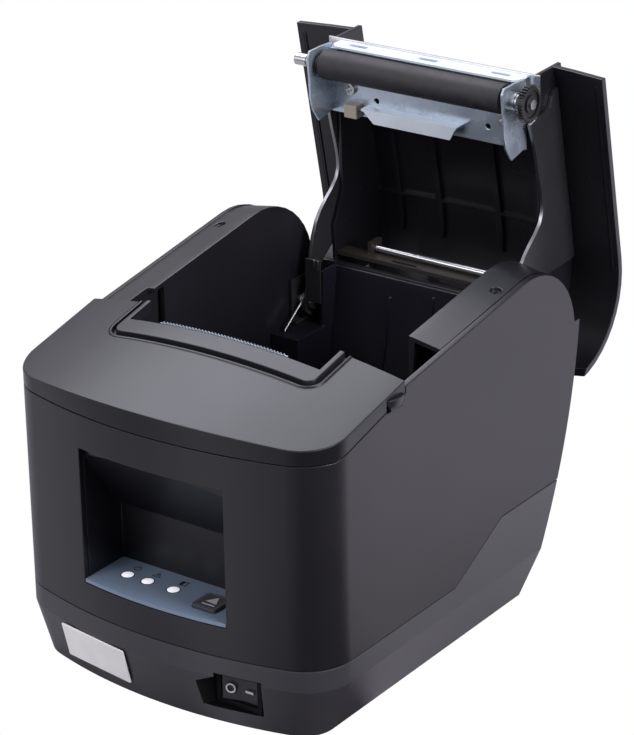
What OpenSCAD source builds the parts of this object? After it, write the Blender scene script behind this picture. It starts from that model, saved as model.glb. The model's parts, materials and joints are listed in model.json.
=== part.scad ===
// Desktop thermal receipt printer with its top cover open.
// Units are millimetres.  X is to the printer's right, Y to the rear, Z up.
// The origin is on the table, under the middle of the printer with its cover open.

/* [Body] */
// Width of the body
body_w = 145; // [139:1:155]
// Depth from the front face to the rear lip
body_l = 184.8; // [178:0.2:195]
// Distance from the origin to the front face
front_reach = 113; // [108:0.5:118]
// Wall thickness of the moulded cases
wall = 2.5; // [2:0.1:3]
// Radius of the bowed front face, seen from above
bow_r = 208; // [170:1:260]
// Radius of the front vertical corners
corner_r = 20; // [14:1:24]
// Radius of the crown across the top
crown_r = 400; // [320:5:600]
// Radius of the rear wall, seen from the side
rear_r = 240; // [200:5:300]
// Lean of the rear wall at its top, in degrees
rear_lean = 4.9; // [3:0.1:7]

/* [Heights] */
// How far the rubber feet stand out
foot_h = 1.5; // [1:0.1:2.5]
// Height of the crease round the base
crease_z = 22.7; // [20:0.1:25]
// How far the base draws in below the crease
base_draft = 8; // [5:0.5:9]
// Height of the seam between base and case at the front
seam_z = 31.6; // [29:0.1:34]
// Height of the same seam at the rear
seam_rear_z = 48.6; // [45:0.1:52]
// Height of the rear lip
lip_z = 112.6; // [111:0.1:115]
// Height of the seam under the top plate at the front
rim_z = 112.8; // [110:0.1:114]
// Height of the same seam at the rear edge of the top plate
rim_rear_z = 124.3; // [123:0.1:125]

/* [Top] */
// Room between the paper's edge and the inner face of each cheek
side_room = 15.5; // [15:0.1:16.5]
// Slope of the cheek tops, in degrees
cheek_slope = 9.3; // [8:0.1:10]
// Radius of the hump at the rear of the cheeks
hump_r = 32.5; // [30:0.5:34]
// Distance from the front face to the rear edge of the top plate
plate_l = 62.8; // [60:0.2:66]
// Height of the top plate at its rear corners
plate_z = 129.6; // [128.5:0.1:131]
// Slope of the top plate, in degrees
plate_slope = 13.2; // [11:0.1:14]
// Thickness of the moulded top skins
skin_t = 2.4; // [2:0.1:2.8]

/* [Window] */
// Width of the display window
window_w = 66; // [60:1:70]
// Distance of its middle to the right of the printer's middle
window_x = 1.4; // [0:0.1:3]
// Height of the display window
window_h = 53.6; // [48:0.2:56]
// Height of its sill
window_z = 45.6; // [43:0.1:48]
// Depth of its recess
window_depth = 25; // [20:0.5:28]
// Height of the upright part of its back wall
window_back_h = 22.7; // [18:0.1:26]

/* [Cover] */
// Angle between the closed and the open cover, in degrees
cover_swing = 87.6; // [80:0.2:88]
// Distance of the hinge axis in front of the rear lip
hinge_in = 13.2; // [12.6:0.1:13.8]
// Distance of the hinge axis below the rear lip
hinge_down = 15.3; // [15:0.1:16]
// Diameter of the hinge pins
hinge_pin_d = 4; // [3:0.1:4.4]
// Thickness of the cover's skin
cover_t = 2.8; // [2.4:0.1:3.2]
// Gap between the cover and the cheeks that it lies on
cover_gap = 0.4; // [0.3:0.05:0.6]
// Height of the raised middle panel above the wings
panel_rise = 3.2; // [2:0.1:4]

/* [Paper path] */
// Width of the paper
paper_w = 80; // [76:0.5:80]
// Diameter of the platen roller
platen_d = 12; // [11:0.1:13]
// Diameter of the platen shaft
shaft_d = 4; // [3:0.1:5]
// Radius of the paper bin's floor
bin_r = 41; // [36:0.5:42]
// Wall of the paper bin
bin_wall = 1.8; // [1.5:0.1:2.2]
// Tooth size (module) of the drive gears
gear_module = 0.42; // [0.38:0.01:0.44]
// Teeth on the platen gear
platen_teeth = 34; // [30:1:35]
// Teeth on the idler gear
idler_teeth = 36; // [32:1:38]
// Teeth on the motor pinion
pinion_teeth = 18; // [14:1:20]

/* [Controls] */
// Width of the feed button
button_w = 11; // [9:0.5:12]
// Travel of the feed button
button_travel = 1; // [0.5:0.1:1.2]
// Width of the power switch
switch_w = 19; // [17:0.5:21]
// Height of the power switch
switch_h = 13; // [11:0.5:14]
// Tilt of the power rocker each way, in degrees
rocker_tilt = 8; // [5:1:10]
// Diameter of the indicator lenses
lens_d = 4.8; // [3.5:0.1:5.5]
// Length of the release tabs along the side
tab_l = 13; // [10:0.5:15]

/* [Hidden] */

// --- shared places ---
hw = body_w / 2;
front_y = -front_reach;
rear_y = front_y + body_l;
bow_c = front_y + bow_r;
corner_x = hw - corner_r;
corner_y = bow_c - sqrt(pow(bow_r - corner_r, 2) - pow(corner_x, 2));
fit = 0.3;                                  // clearance between pieces that move past each other
seam = 0.25;                                // visible gap between two cases
plate_y = front_y + plate_l;                // rear edge of the top plate
inner_x = paper_w / 2 + side_room;          // inner face of the cheeks
crown_drop = hw * hw / (2 * crown_r);
apex_r = hump_r + crown_drop;
hump_c = [rear_y - 36, lip_z - 4.3];
rear_c = [rear_y - rear_r * cos(rear_lean), lip_z + rear_r * sin(rear_lean)];
floor_t = 2.5;
base_z = foot_h;
seam_front_y = front_y + 96.2;              // where the side seam starts to rise
seam_rise_y = front_y + 129;                // where it is level again
hinge = [rear_y - hinge_in, lip_z - hinge_down];

// --- places on the cover, in its closed position ---
panel_front_y = plate_y + 0.5;              // front edge of the cover's wings
roller_c = [plate_y + 6.8, 105.7];          // axis of the platen roller
panel_hw = inner_x - 7.2;                   // half width of the raised middle panel
wall_t = 1.8;                               // inner walls of the cover
bracket_x = panel_hw - wall_t - fit;        // outer face of the platen bracket's ears
sheet_t = 1;                                // sheet steel
arm_t = 1.5;
arm_x = panel_hw + 0.2;                     // inner face of the hinge arms
roller_hw = paper_w / 2 + 2.6;
gear_x = inner_x - 3.5;                     // inner face of the platen gear
gear_w = 2.4;
bushing_d = 7;
notch_y = panel_front_y + 12;               // rear end of the cut-out in the middle panel

// --- drive train, below the right cheek ---
idler_c = roller_c + [-9.6, -12.6];
mesh_gap = 0.12;                            // added to the centre distance of gears in mesh
pinion_c = idler_c + [-3.2, -sqrt(pow(gear_module * (idler_teeth + pinion_teeth) / 2 + mesh_gap, 2)
    - pow(3.2, 2))];

// ================= helpers =================

// A profile drawn in (Y, Z), extruded from x0 to x1
module along_x(x0, x1) {
    translate([x0, 0, 0]) rotate([90, 0, 90]) linear_extrude(x1 - x0) children();
}

// A profile drawn in (X, Z), extruded from y0 to y1
module along_y(y0, y1) {
    translate([0, y1, 0]) rotate([90, 0, 0]) linear_extrude(y1 - y0) children();
}

// A round bar along X
module bar_x(x0, x1, c, d, sides = 48) {
    translate([x0, c.x, c.y]) rotate([0, 90, 0]) cylinder(h = x1 - x0, d = d, $fn = sides);
}

// A box from its low corner to its high corner
module box(low, high) {
    translate(low) cube(high - low);
}

// The same thing on the left and on the right
module both_sides() {
    children();
    mirror([1, 0, 0]) children();
}

// Outline of the body from above, drawn in by i: bowed front, rounded front corners
module outline(i = 0) {
    reach = (bow_r + 20) / (bow_r - corner_r);
    edge = [corner_x * reach, bow_c - (bow_c - corner_y) * reach];
    intersection() {
        translate([0, bow_c]) circle(r = bow_r - i, $fn = 240);
        polygon([[0, bow_c], [-edge.x, edge.y], edge]);
    }
    for (s = [-1, 1])
        translate([s * corner_x, corner_y]) circle(r = corner_r - i, $fn = 64);
    translate([i - hw, corner_y]) square([2 * (hw - i), rear_y + 40 - corner_y]);
}

// All that lies in front of the curved rear wall, drawn in by i
module rear_limit(i = 0) {
    along_x(-hw - 1, hw + 1) translate(rear_c) circle(r = rear_r - i, $fn = 240);
}

// Stations of the crowned top along the side view, front to rear: a foot point and the
// direction away from it.  The first two bound the straight slope, the rest go round the hump.
hump_steps = 12;
hump_end = -12;
crown_stations = concat(
    [[hump_c - body_l * [cos(cheek_slope), sin(cheek_slope)], 90 + cheek_slope]],
    [for (k = [0:hump_steps]) [hump_c, 90 + cheek_slope
        - k * (90 + cheek_slope - hump_end) / hump_steps]]);
crown_cols = 10;
crown_x = [for (j = [0:crown_cols]) (hw + 1) * (2 * j / crown_cols - 1)];

function crown_sink(x) = crown_r - sqrt(crown_r * crown_r - x * x);
function crown_point(station, x, r) = [x, station[0].x + r * cos(station[1]),
    station[0].y + r * sin(station[1])];

// The body under the cheek tops and the hump, raised by e, down to near the hump's centre
module crown(e = 0) {
    rows = len(crown_stations);
    cols = len(crown_x);
    half = rows * cols;
    low_r = 3.2 + e / 4;
    points = concat(
        [for (s = crown_stations, x = crown_x) crown_point(s, x, apex_r + e - crown_sink(x))],
        [for (s = crown_stations, x = crown_x) crown_point(s, x, low_r)]);
    faces = concat(
        [for (i = [0:rows - 2], j = [0:cols - 2]) let (a = i * cols + j)
            [a, a + cols, a + cols + 1, a + 1]],
        [for (i = [0:rows - 2], j = [0:cols - 2]) let (a = half + i * cols + j)
            [a, a + 1, a + cols + 1, a + cols]],
        [for (i = [0:rows - 2]) let (a = i * cols) [a, half + a, half + a + cols, a + cols]],
        [for (i = [0:rows - 2]) let (a = i * cols + cols - 1)
            [a, a + cols, half + a + cols, half + a]],
        [for (j = [0:cols - 2]) [j, j + 1, half + j + 1, half + j]],
        [for (j = [0:cols - 2]) let (a = half - cols + j) [a, half + a, half + a + 1, a + 1]]);
    polyhedron(points, faces);
}

// All that lies under the sloping top plate, raised by e
module plate_crown(e = 0) {
    translate([0, plate_y, plate_z]) rotate([plate_slope, 0, 0]) translate([0, 10, 0])
        rotate([90, 0, 0]) linear_extrude(plate_l + 40) intersection() {
            translate([0, crown_drop + e - crown_r]) circle(r = crown_r, $fn = 360);
            translate([-hw - 1, -60]) square([2 * hw + 2, crown_drop + e + 61]);
        }
}

// Side view of the seam under the top plate, as the area above it
module above_rim(e = 0) {
    polygon([[front_y - 5, rim_z + e], [front_y + 21, rim_z + e], [plate_y + 20,
        rim_rear_z + e + 20 * (rim_rear_z - rim_z) / (plate_l - 21)], [plate_y + 20, 190],
        [front_y - 5, 190]]);
}

// Side view of the seam between base and upper case, as the area above it
module above_seam(e = 0) {
    polygon([[front_y - 5, seam_z + e], [seam_front_y, seam_z + e], [seam_rise_y,
        seam_rear_z + e], [rear_y + 5, seam_rear_z + e], [rear_y + 5, 190], [front_y - 5, 190]]);
}

// The cover's own position: closed when a is 0, open at cover_swing
module swung(a = cover_swing) {
    translate([0, hinge.x, hinge.y]) rotate([-a, 0, 0]) translate([0, -hinge.x, -hinge.y])
        children();
}

// A spur gear in the XY plane; turn shifts its teeth, in tooth pitches
module gear_outline(teeth, turn = 0) {
    pitch_r = gear_module * teeth / 2;
    pitch = PI * gear_module;
    union() {
        circle(r = pitch_r - 1.25 * gear_module, $fn = 72);
        for (k = [0:teeth - 1])
            rotate((k + turn) * 360 / teeth) translate([pitch_r, 0]) polygon([
                [-1.5 * gear_module, -0.30 * pitch], [0, -0.21 * pitch],
                [0.9 * gear_module, -0.10 * pitch], [0.9 * gear_module, 0.10 * pitch],
                [0, 0.21 * pitch], [-1.5 * gear_module, 0.30 * pitch]]);
    }
}

// ================= cases =================

crease_rear_y = rear_c.x + sqrt(pow(rear_r, 2) - pow(rear_c.y - crease_z, 2));
port_x = [-38, -6, 26];                     // middles of the rear connectors
port_z = base_z + 15;
base_lean = -2.2;                           // the front draws in less than the sides

// Solid of the base, drawn in by i, without its seam cut
module base_form(i = 0) {
    // upright band above the crease
    intersection() {
        translate([0, 0, crease_z]) linear_extrude(seam_rear_z + 5 - crease_z) outline(i);
        rear_limit(i);
    }
    // drawn-in skirt below it
    hull() {
        translate([0, 0, crease_z - 0.01]) linear_extrude(0.01) intersection() {
            outline(i);
            translate([-hw, front_y]) square([body_w, crease_rear_y - i - front_y]);
        }
        translate([0, base_lean, base_z + (i > 0 ? floor_t : 0)]) linear_extrude(0.01)
            intersection() {
                outline(i + base_draft * 0.9);
                translate([-hw, front_y]) square([body_w, crease_rear_y - i - front_y - 2.4]);
            }
    }
}

switch_x = 35;                              // middle of the power switch
switch_z = 16.2;
switch_y = front_y + 9.5;                   // face of the switch in its recess
recess_w = switch_w + 9;
boss_x = hw - 16;
boss_y = [front_y + 38, rear_y - 48];
board_y = [front_y + 70, rear_y - 62];      // posts of the main board

module base_case() {
    color("#2f2f33") difference() {
        union() {
            difference() {
                base_form();
                base_form(wall);
                along_x(-hw - 1, hw + 1) above_seam(-seam);
            }
            // screw bosses
            for (s = [-1, 1], y = boss_y)
                translate([s * boss_x, y, base_z + 0.5])
                    cylinder(h = seam_z - base_z - 1, d = 8, $fn = 32);
            // board posts
            for (s = [-1, 1], y = board_y)
                translate([s * paper_w / 2, y, base_z + 0.5]) cylinder(h = 7, d = 6, $fn = 32);
            // pocket round the power switch
            intersection() {
                box([switch_x - recess_w / 2 - 2, front_y, base_z + 1],
                    [switch_x + recess_w / 2 + 2, switch_y + wall, switch_z + 10.5]);
                base_form(0.8);
            }
        }
        // counterbored holes for the case screws, from below
        for (s = [-1, 1], y = boss_y) translate([s * boss_x, y, base_z - 1]) {
            cylinder(h = 4.5, d = 6.6, $fn = 32);
            cylinder(h = 60, d = 3, $fn = 32);
        }
        // seats for the rubber feet
        for (s = [-1, 1], y = [front_y + 24, rear_y - 48])
            translate([s * (hw - 30), y, base_z - 0.5]) cylinder(h = 1.1, d = foot_d + 0.4, $fn = 48);
        // tapered recess in front of the power switch
        hull() {
            box([switch_x - recess_w / 2 - 0.4, front_y + 2, switch_z - switch_h / 2 - 1.5],
                [switch_x + recess_w / 2, front_y + 2.1, switch_z + switch_h / 2 + 1.4]);
            box([switch_x - switch_w / 2 - 1.3, switch_y, switch_z - switch_h / 2 - 1.2],
                [switch_x + switch_w / 2 + 1.3, switch_y + 0.1, switch_z + switch_h / 2 + 1.2]);
        }
        // hole for the switch body
        box([switch_x - switch_w / 2 - fit, switch_y - 1, switch_z - switch_h / 2 - fit],
            [switch_x + switch_w / 2 + fit, switch_y + 20, switch_z + switch_h / 2 + fit]);
        // holes for the connectors in the rear wall
        for (x = port_x)
            box([x - 9, crease_rear_y - 22, port_z - 7.5], [x + 9, crease_rear_y + 10, port_z + 7.5]);
    }
}

foot_d = 12;

module rubber_feet() {
    color("#191919") for (s = [-1, 1], y = [front_y + 24, rear_y - 48])
        translate([s * (hw - 30), y, 0]) {
            cylinder(h = foot_h + 0.6, d = foot_d - 1, $fn = 48);
            translate([0, 0, 0.5]) cylinder(h = foot_h + 0.1, d = foot_d, $fn = 48);
        }
}

module screw_up(d_head, d, l) {
    difference() {
        union() {
            cylinder(h = 2, d = d_head, $fn = 32);
            cylinder(h = l, d = d, $fn = 24);
        }
        for (a = [0, 90]) rotate(a) translate([-1.6, -0.35, -1]) cube([3.2, 0.7, 1.9]);
    }
}

module base_screws() {
    color("#8a8a8e") for (s = [-1, 1], y = boss_y)
        translate([s * boss_x, y, base_z + 1.5]) screw_up(5.6, 2.9, 20);
}

plate_tilt = atan((base_draft * 0.9 + base_lean) / (crease_z - base_z));

// A blank plate on the sloping front of the base
module name_plate() {
    plate_w = 34;
    plate_h = 15;
    x0 = -29;
    bow = front_y + x0 * x0 / (2 * bow_r);
    color("#e8e8ea") translate([x0, bow, crease_z]) rotate([plate_tilt, 0, asin(x0 / bow_r)])
        translate([-plate_w / 2, -0.85, -plate_h - 0.8]) cube([plate_w, 0.8, plate_h]);
}

cheek_bottom_z = seam_rear_z + 2;
dimple = [hw - 6.9, rear_y - 51];              // cheek screw hole, from above
ledge_drop = 0.4;                           // cheek tops lie this far below the outer lip
dimple_z = cheek_top_z(dimple.x, dimple.y) - ledge_drop - 0.9;

// Height of the cheek's sloping top
function cheek_top_z(x, y) = hump_c.y + (apex_r - crown_sink(x)) / cos(cheek_slope)
    + tan(cheek_slope) * (y - hump_c.x);

// Solid of the upper case without hollows
module case_form(i = 0) {
    intersection() {
        translate([0, 0, seam_z - 1]) linear_extrude(160 - seam_z) outline(i);
        rear_limit(i);
        union() {
            crown(-i);
            along_x(-hw - 1, hw + 1) polygon([[front_y - 5, 0], [rear_y + 10, 0],
                [rear_y + 10, lip_z - i], [front_y - 5, lip_z - i]]);
        }
    }
}

module upper_case() {
    color("#3a3a3e") difference() {
        union() {
            difference() {
                case_form();
                // hollow between the outer walls
                intersection() {
                    case_form(wall);
                    along_x(-hw, hw) translate([0, -0.01]) square([1000, 1000], center = true);
                }
            }
            // inner walls of the cheeks
            intersection() {
                case_form(0.5);
                both_sides() box([inner_x, plate_y + 22, cheek_bottom_z], [inner_x + wall, rear_y, 160]);
            }
            // left cheek's inner wall goes on to the top plate
            intersection() {
                case_form(0.5);
                box([-inner_x - 3.5 - wall, plate_y + 0.3, cheek_bottom_z],
                    [-inner_x - 3.5, plate_y + 24, 160]);
            }
            // screw posts up to the cheek tops
            for (s = [-1, 1]) intersection() {
                case_form(0.5);
                translate([s * dimple.x, dimple.y, cheek_bottom_z]) cylinder(h = body_l, d = 8, $fn = 32);
            }
        }
        // opening over the paper bin and the mechanism
        box([-inner_x, plate_y, lip_z - 30], [inner_x, rear_y - 6.5, 170]);
        box([-inner_x, plate_y, lip_z], [inner_x, rear_y + 5, 170]);
        box([-inner_x - 3.5, plate_y - 0.1, cheek_bottom_z - 1], [-inner_x + 1, plate_y + 16, 170]);
        // open pocket over the gears, in front of the right cheek's top
        box([inner_x - 1, plate_y - 0.1, cheek_bottom_z - 1], [hw - wall, plate_y + 27, 170]);
        // ledge: the cheek tops lie a little below the outer lip
        for (s = [-1, 1]) intersection() {
            difference() {
                translate([0, 0, lip_z]) linear_extrude(60) outline(wall);
                crown(-ledge_drop);
            }
            box([s > 0 ? 0 : -hw, plate_y + 0.3, lip_z], [s > 0 ? hw : 0, rear_y + 1, 170]);
        }
        // room for the top plate
        intersection() {
            along_x(-hw - 1, hw + 1) above_rim();
            box([-hw - 1, front_y - 5, rim_z - 1], [hw + 1, plate_y + 0.3, 170]);
        }
        // window, with a seat for the indicator panel at its sill
        box([window_x - window_w / 2, front_y - 5, window_z],
            [window_x + window_w / 2, front_y + 25, window_z + window_h]);
        translate([0, 0, window_z - 1.7]) linear_extrude(2) intersection() {
            outline(-1);
            translate([window_x - window_w / 2, front_y - 2]) square([window_w, window_depth]);
        }
        // cheek screw holes
        for (s = [-1, 1]) translate([s * dimple.x, dimple.y, dimple_z - 2.02]) {
            cylinder(h = 30, d = 4.4, $fn = 32);
            translate([0, 0, -30]) cylinder(h = 60, d = 2.6, $fn = 32);
        }
        // holes for the hinge pins, through the cheeks' inner walls
        both_sides() bar_x(inner_x - 1, inner_x + wall + 1, hinge, hinge_pin_d + 0.1);
        // slots for the release tabs
        both_sides() tab_slot();
        // seam to the base
        difference() {
            box([-hw - 1, front_y - 6, 0], [hw + 1, rear_y + 6, seam_rear_z + 1]);
            along_x(-hw - 2, hw + 2) above_seam();
        }
    }
}

tab_y = plate_y - 6.4;                      // middle of the release tab
tab_z = 121.2;                              // underside of its arm
tab_t = 1.5;                                // thickness of its arm

// Slot for the arm of a release tab, through the case and the skirt of the top plate
module tab_slot() {
    box([hw - wall - 1, tab_y - 5.2, tab_z - 0.5], [hw + 1, tab_y + 4.6, tab_z + tab_t + 0.5]);
}

module cheek_screws() {
    color("#26262a") for (s = [-1, 1]) translate([s * dimple.x, dimple.y, dimple_z])
        mirror([0, 0, 1]) screw_up(4.2, 2.5, 12);
}

recess_back_y = front_y + window_depth;

// Liner of the display window: side walls, upright back, and a sloping roof
module window_frame() {
    frame_z = window_z + window_h;
    color("#232327") difference() {
        intersection() {
            along_x(window_x - window_w / 2 - 1.8, window_x + window_w / 2 + 1.8) polygon([[front_y, window_z - 3],
                [recess_back_y + 1.8, window_z - 3],
                [recess_back_y + 1.8, window_z + window_back_h + 1],
                [front_y + 4.5, frame_z + 1.8], [front_y, frame_z + 1.8]]);
            translate([0, 0, window_z - 5]) linear_extrude(window_h + 10) outline(wall + 0.1);
        }
        along_x(window_x - window_w / 2, window_x + window_w / 2) polygon([[front_y, window_z - 1.4],
            [recess_back_y, window_z - 1.4], [recess_back_y, window_z + window_back_h],
            [front_y + 2.5, frame_z], [front_y, frame_z]]);
        // hole under the key
        translate([button_x, button_y, window_z - 4]) linear_extrude(4) button_outline(fit);
    }
}

module indicator_panel() {
    half = window_w / 2 - 0.2;
    color("#5d7287") difference() {
        intersection() {
            box([window_x - half, front_y, window_z - 1.4], [window_x + half, recess_back_y - 0.1, window_z]);
            translate([0, 0, window_z - 2]) linear_extrude(4) outline(0.15);
        }
        for (x = lens_x) translate([x, lens_y, window_z - 2]) cylinder(h = 3, d = lens_d, $fn = 32);
        translate([button_x, button_y, window_z - 2]) linear_extrude(4) button_outline(fit);
    }
}

lens_x = [-20.3, -10.7, 1.5];
lens_y = front_y + 13.8;
button_x = 20.5;
button_y = front_y + 12.5;

module indicator_lenses() {
    color("#f2f2f2") for (x = lens_x) translate([x, lens_y, window_z - 1.4]) {
        cylinder(h = 1.4, d = lens_d - 0.1, $fn = 32);
        translate([0, 0, 1.4]) intersection() {
            cylinder(h = 1, d = lens_d - 0.1, $fn = 32);
            translate([0, 0, 0.7 - lens_d]) sphere(d = 2 * lens_d, $fn = 48);
        }
    }
}

module panel_board() {
    color("#1f5a3c") box([window_x - window_w / 2 + 4, front_y + 9, window_z - 4.7],
        [window_x + window_w / 2 - 4, recess_back_y - 2, window_z - 3.1]);
}

// A square key with round corners
module button_outline(e = 0) {
    w = button_w / 2;
    r = 1.5;
    square([2 * (w - r), 2 * (w + e)], center = true);
    square([2 * (w + e), 2 * (w - r)], center = true);
    for (x = [r - w, w - r], y = [r - w, w - r]) translate([x, y]) circle(r = r + e, $fn = 32);
}

module feed_button() {
    color("#222226") translate([button_x, button_y, window_z - 1.3])
        linear_extrude(2.1 + button_travel / 2) button_outline();
}

// ================= top plate =================

exit_hw = paper_w / 2 + 4;                  // half width of the paper exit
exit_y = plate_y - 13;                      // front of the paper exit
ridge_t = 2.2;                              // raised rim at the exit's sides
band_w = 6;                                 // the rim is this much wider along its front
groove_t = 2;                               // groove outside it
strip_z = 126.2;                            // sloping guide strip down in the exit

// The exit seen from above, grown by e at its sides and more at its front, with round corners
module exit_area(e) {
    x1 = exit_hw + e;
    y0 = exit_y - (e > 0 ? e + band_w : 0);
    r = 1 + 1.3 * e;
    translate([-x1, y0 + r]) square([2 * x1, 60]);
    translate([r - x1, y0]) square([2 * (x1 - r), 60]);
    for (s = [-1, 1]) translate([s * (x1 - r), y0 + r]) circle(r = r, $fn = 48);
}

// U shape round the paper exit, from a out to b
module exit_u(a, b) {
    translate([0, 0, rim_z - 10]) linear_extrude(60) difference() {
        exit_area(b);
        exit_area(a);
    }
}

module top_plate() {
    color("#4a4a50") difference() {
        union() {
            difference() {
                intersection() {
                    translate([0, 0, rim_z]) linear_extrude(40) outline();
                    plate_crown();
                    along_x(-hw - 1, hw + 1) above_rim(seam);
                }
                // hollow under the skin
                intersection() {
                    translate([0, 0, rim_z - 2]) linear_extrude(40) outline(wall);
                    plate_crown(-skin_t);
                }
            }
            // raised rim, broad along the front of the exit
            intersection() {
                exit_u(0, ridge_t);
                difference() {
                    plate_crown(1);
                    plate_crown(-skin_t);
                }
            }
            // walls of the exit
            intersection() {
                difference() {
                    box([-exit_hw - ridge_t, exit_y - ridge_t, rim_z], [exit_hw + ridge_t, plate_y + 5, 160]);
                    box([-exit_hw, exit_y, rim_z - 10], [exit_hw, plate_y + 10, 170]);
                }
                plate_crown(0.5);
                along_x(-hw, hw) above_rim(6);
            }
            // bosses that carry the cutter's frame
            intersection() {
                for (y = [plate_y - 36, plate_y - 19]) both_sides()
                    translate([exit_hw + 4.4, y, cut_z - 0.3]) cylinder(h = 20, d = 3.4, $fn = 24);
                plate_crown(-1);
            }
            // bead outside the groove
            intersection() {
                exit_u(ridge_t + groove_t, ridge_t + groove_t + 1.1);
                plate_crown(0.5);
                difference() {
                    translate([0, 0, 100]) linear_extrude(60) outline(wall);
                    plate_crown(-1.5);
                }
            }
        }
        // straight rear edge
        box([-hw - 1, plate_y, 60], [hw + 1, plate_y + 40, 170]);
        // groove round the rim
        difference() {
            exit_u(ridge_t, ridge_t + groove_t);
            plate_crown(-1.3);
        }
        // the exit itself
        box([-exit_hw, exit_y, 60], [exit_hw, plate_y + 10, 170]);
        both_sides() tab_slot();
    }
    // guide strip down in the exit
    color("#4a4a50") along_x(-exit_hw - 0.1, exit_hw + 0.1)
        polygon([[exit_y - 0.1, strip_z - 1.4], [plate_y - 4.3, strip_z - 2.4],
            [plate_y - 3.24, strip_z - 0.4], [exit_y - 0.1, strip_z + 1]]);
}

blade_pitch = 1.5;                          // pitch of the tear blade's teeth
blade_hw = exit_hw - 14.5;                  // half width of the tear blade
// Top of the crown over the front of the exit
edge_z = plate_z + crown_drop - (plate_y - exit_y) * tan(plate_slope);

// Bowed strip on the rear face of the rim, with fine teeth that stand above it
module tear_blade() {
    teeth = 2 * floor(blade_hw / blade_pitch);
    turn = atan(blade_pitch / crown_r);
    color("#c9ccd0") translate([0, 0, edge_z - crown_r]) along_y(exit_y + 0.01, exit_y + 0.6) {
        intersection() {
            difference() {
                circle(r = crown_r + 1.3, $fn = 360);
                circle(r = crown_r - 3, $fn = 360);
            }
            translate([-blade_hw, crown_r - 8]) square([2 * blade_hw, 12]);
        }
        for (k = [0.5:teeth]) rotate((k - teeth / 2) * turn) translate([0, crown_r + 1.2])
            polygon([[-blade_pitch / 2, -0.2], [blade_pitch / 2, -0.2], [0, 0.7]]);
    }
}

// ================= paper bin =================

bin_hw = paper_w / 2 + 1.6;                 // inner half width
bin_c = [rear_y - 57.8, 72];                // axis of the paper roll
shoulder_z = 88;                            // top of the shoulders beside the roll
shoulder_y = rear_y - 32.5;                 // their front end

// Side view of the bin's hollow: a round floor, an open top, and the leaning rear wall
module bin_section(e = 0) {
    intersection() {
        union() {
            translate(bin_c) circle(r = bin_r + e, $fn = 120);
            translate([bin_c.x - bin_r - e, bin_c.y]) square([2 * (bin_r + e) + 20, 60]);
        }
        translate(rear_c) circle(r = rear_r - wall - 0.3 - bin_wall + e, $fn = 240);
    }
}

module paper_bin() {
    top_z = lip_z - 0.3;
    color("#2b2b31") difference() {
        union() {
            // tub
            difference() {
                along_x(-bin_hw - bin_wall, bin_hw + bin_wall) intersection() {
                    bin_section(bin_wall);
                    translate([front_y, 0]) square([body_l, top_z]);
                }
                along_x(-bin_hw, bin_hw) bin_section();
                // the side walls and the front are cut down
                box([-hw, front_y, 66], [hw, shoulder_y, 170]);
                both_sides() box([bin_hw - 0.01, shoulder_y - 1, shoulder_z], [hw, rear_y - 14, 170]);
            }
            // shoulders beside the rear of the roll
            both_sides() difference() {
                box([bin_hw, shoulder_y, 50], [inner_x - 0.3, rear_y - 6, shoulder_z]);
                box([bin_hw + bin_wall, shoulder_y + bin_wall, 40],
                    [inner_x - 0.3 - bin_wall, rear_y, shoulder_z - bin_wall]);
            }
            // upright ribs on the rear wall
            for (x = [-14.5, 6.5]) along_x(x, x + 0.8) intersection() {
                difference() {
                    bin_section(0.1);
                    translate([-1, 0]) translate(rear_c)
                        circle(r = rear_r - wall - 0.3 - bin_wall, $fn = 240);
                }
                translate([bin_c.x + 10, 52]) square([60, 55 + x * 0.2]);
            }
            // sloping step across the rear wall
            along_x(-bin_hw, -bin_hw + 30) polygon([[rear_y - 6.2, 91], [rear_y - 4.4, 91],
                [rear_y - 6.4, 85], [rear_y - 7.6, 87]]);
        }
        intersection() {
            difference() {
                box([-hw, bin_c.x, 0], [hw, rear_y + 20, 170]);
                rear_limit(wall + 0.3);
            }
            box([-hw, bin_c.x, 0], [hw, rear_y + 20, 170]);
        }
        // slot for the paper sensor in the floor
        box([10, bin_c.x - 4, 20], [20, bin_c.x + 4, 45]);
    }
}

module paper_sensor() {
    z = bin_c.y - bin_r;
    color("#111111") box([10.3, bin_c.x - 3.7, z - 4], [19.7, bin_c.x + 3.7, z - 0.6]);
}

// ================= electronics =================

board_z = base_z + 7.5;

module main_board() {
    color("#1f5a3c") difference() {
        box([-inner_x + 7.5, board_y[0] - 6, board_z], [inner_x - 7.5, board_y[1] + 8, board_z + 1.6]);
        for (s = [-1, 1], y = board_y)
            translate([s * paper_w / 2, y, board_z - 1]) cylinder(h = 4, d = 3, $fn = 24);
    }
}

// A connector shell behind its hole in the rear wall, with its mouth to the rear
module port(x, w, h, mouth_w, mouth_h, depth) {
    y1 = crease_rear_y - 1.5;
    difference() {
        box([x - w / 2, rear_y - 56, board_z + 1.6], [x + w / 2, y1 - 6, board_z + 1.6 + h]);
        box([x - mouth_w / 2, y1 - 6 - depth, board_z + 1.6 + (h - mouth_h) / 2],
            [x + mouth_w / 2, y1 + 1, board_z + 1.6 + (h + mouth_h) / 2]);
    }
}

module power_jack() {
    color("#1a1a1a") port(port_x[0], 15, 11, 11, 7, 9);
}

module interface_port() {
    color("#b9bcc0") port(port_x[1], 12.5, 11, 9, 8, 9);
}

module drawer_port() {
    color("#202020") port(port_x[2], 13.5, 12, 10, 7.5, 9);
}

// ================= power switch =================

rocker_c = [switch_y + 3, switch_z];        // pivot of the rocker

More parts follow.
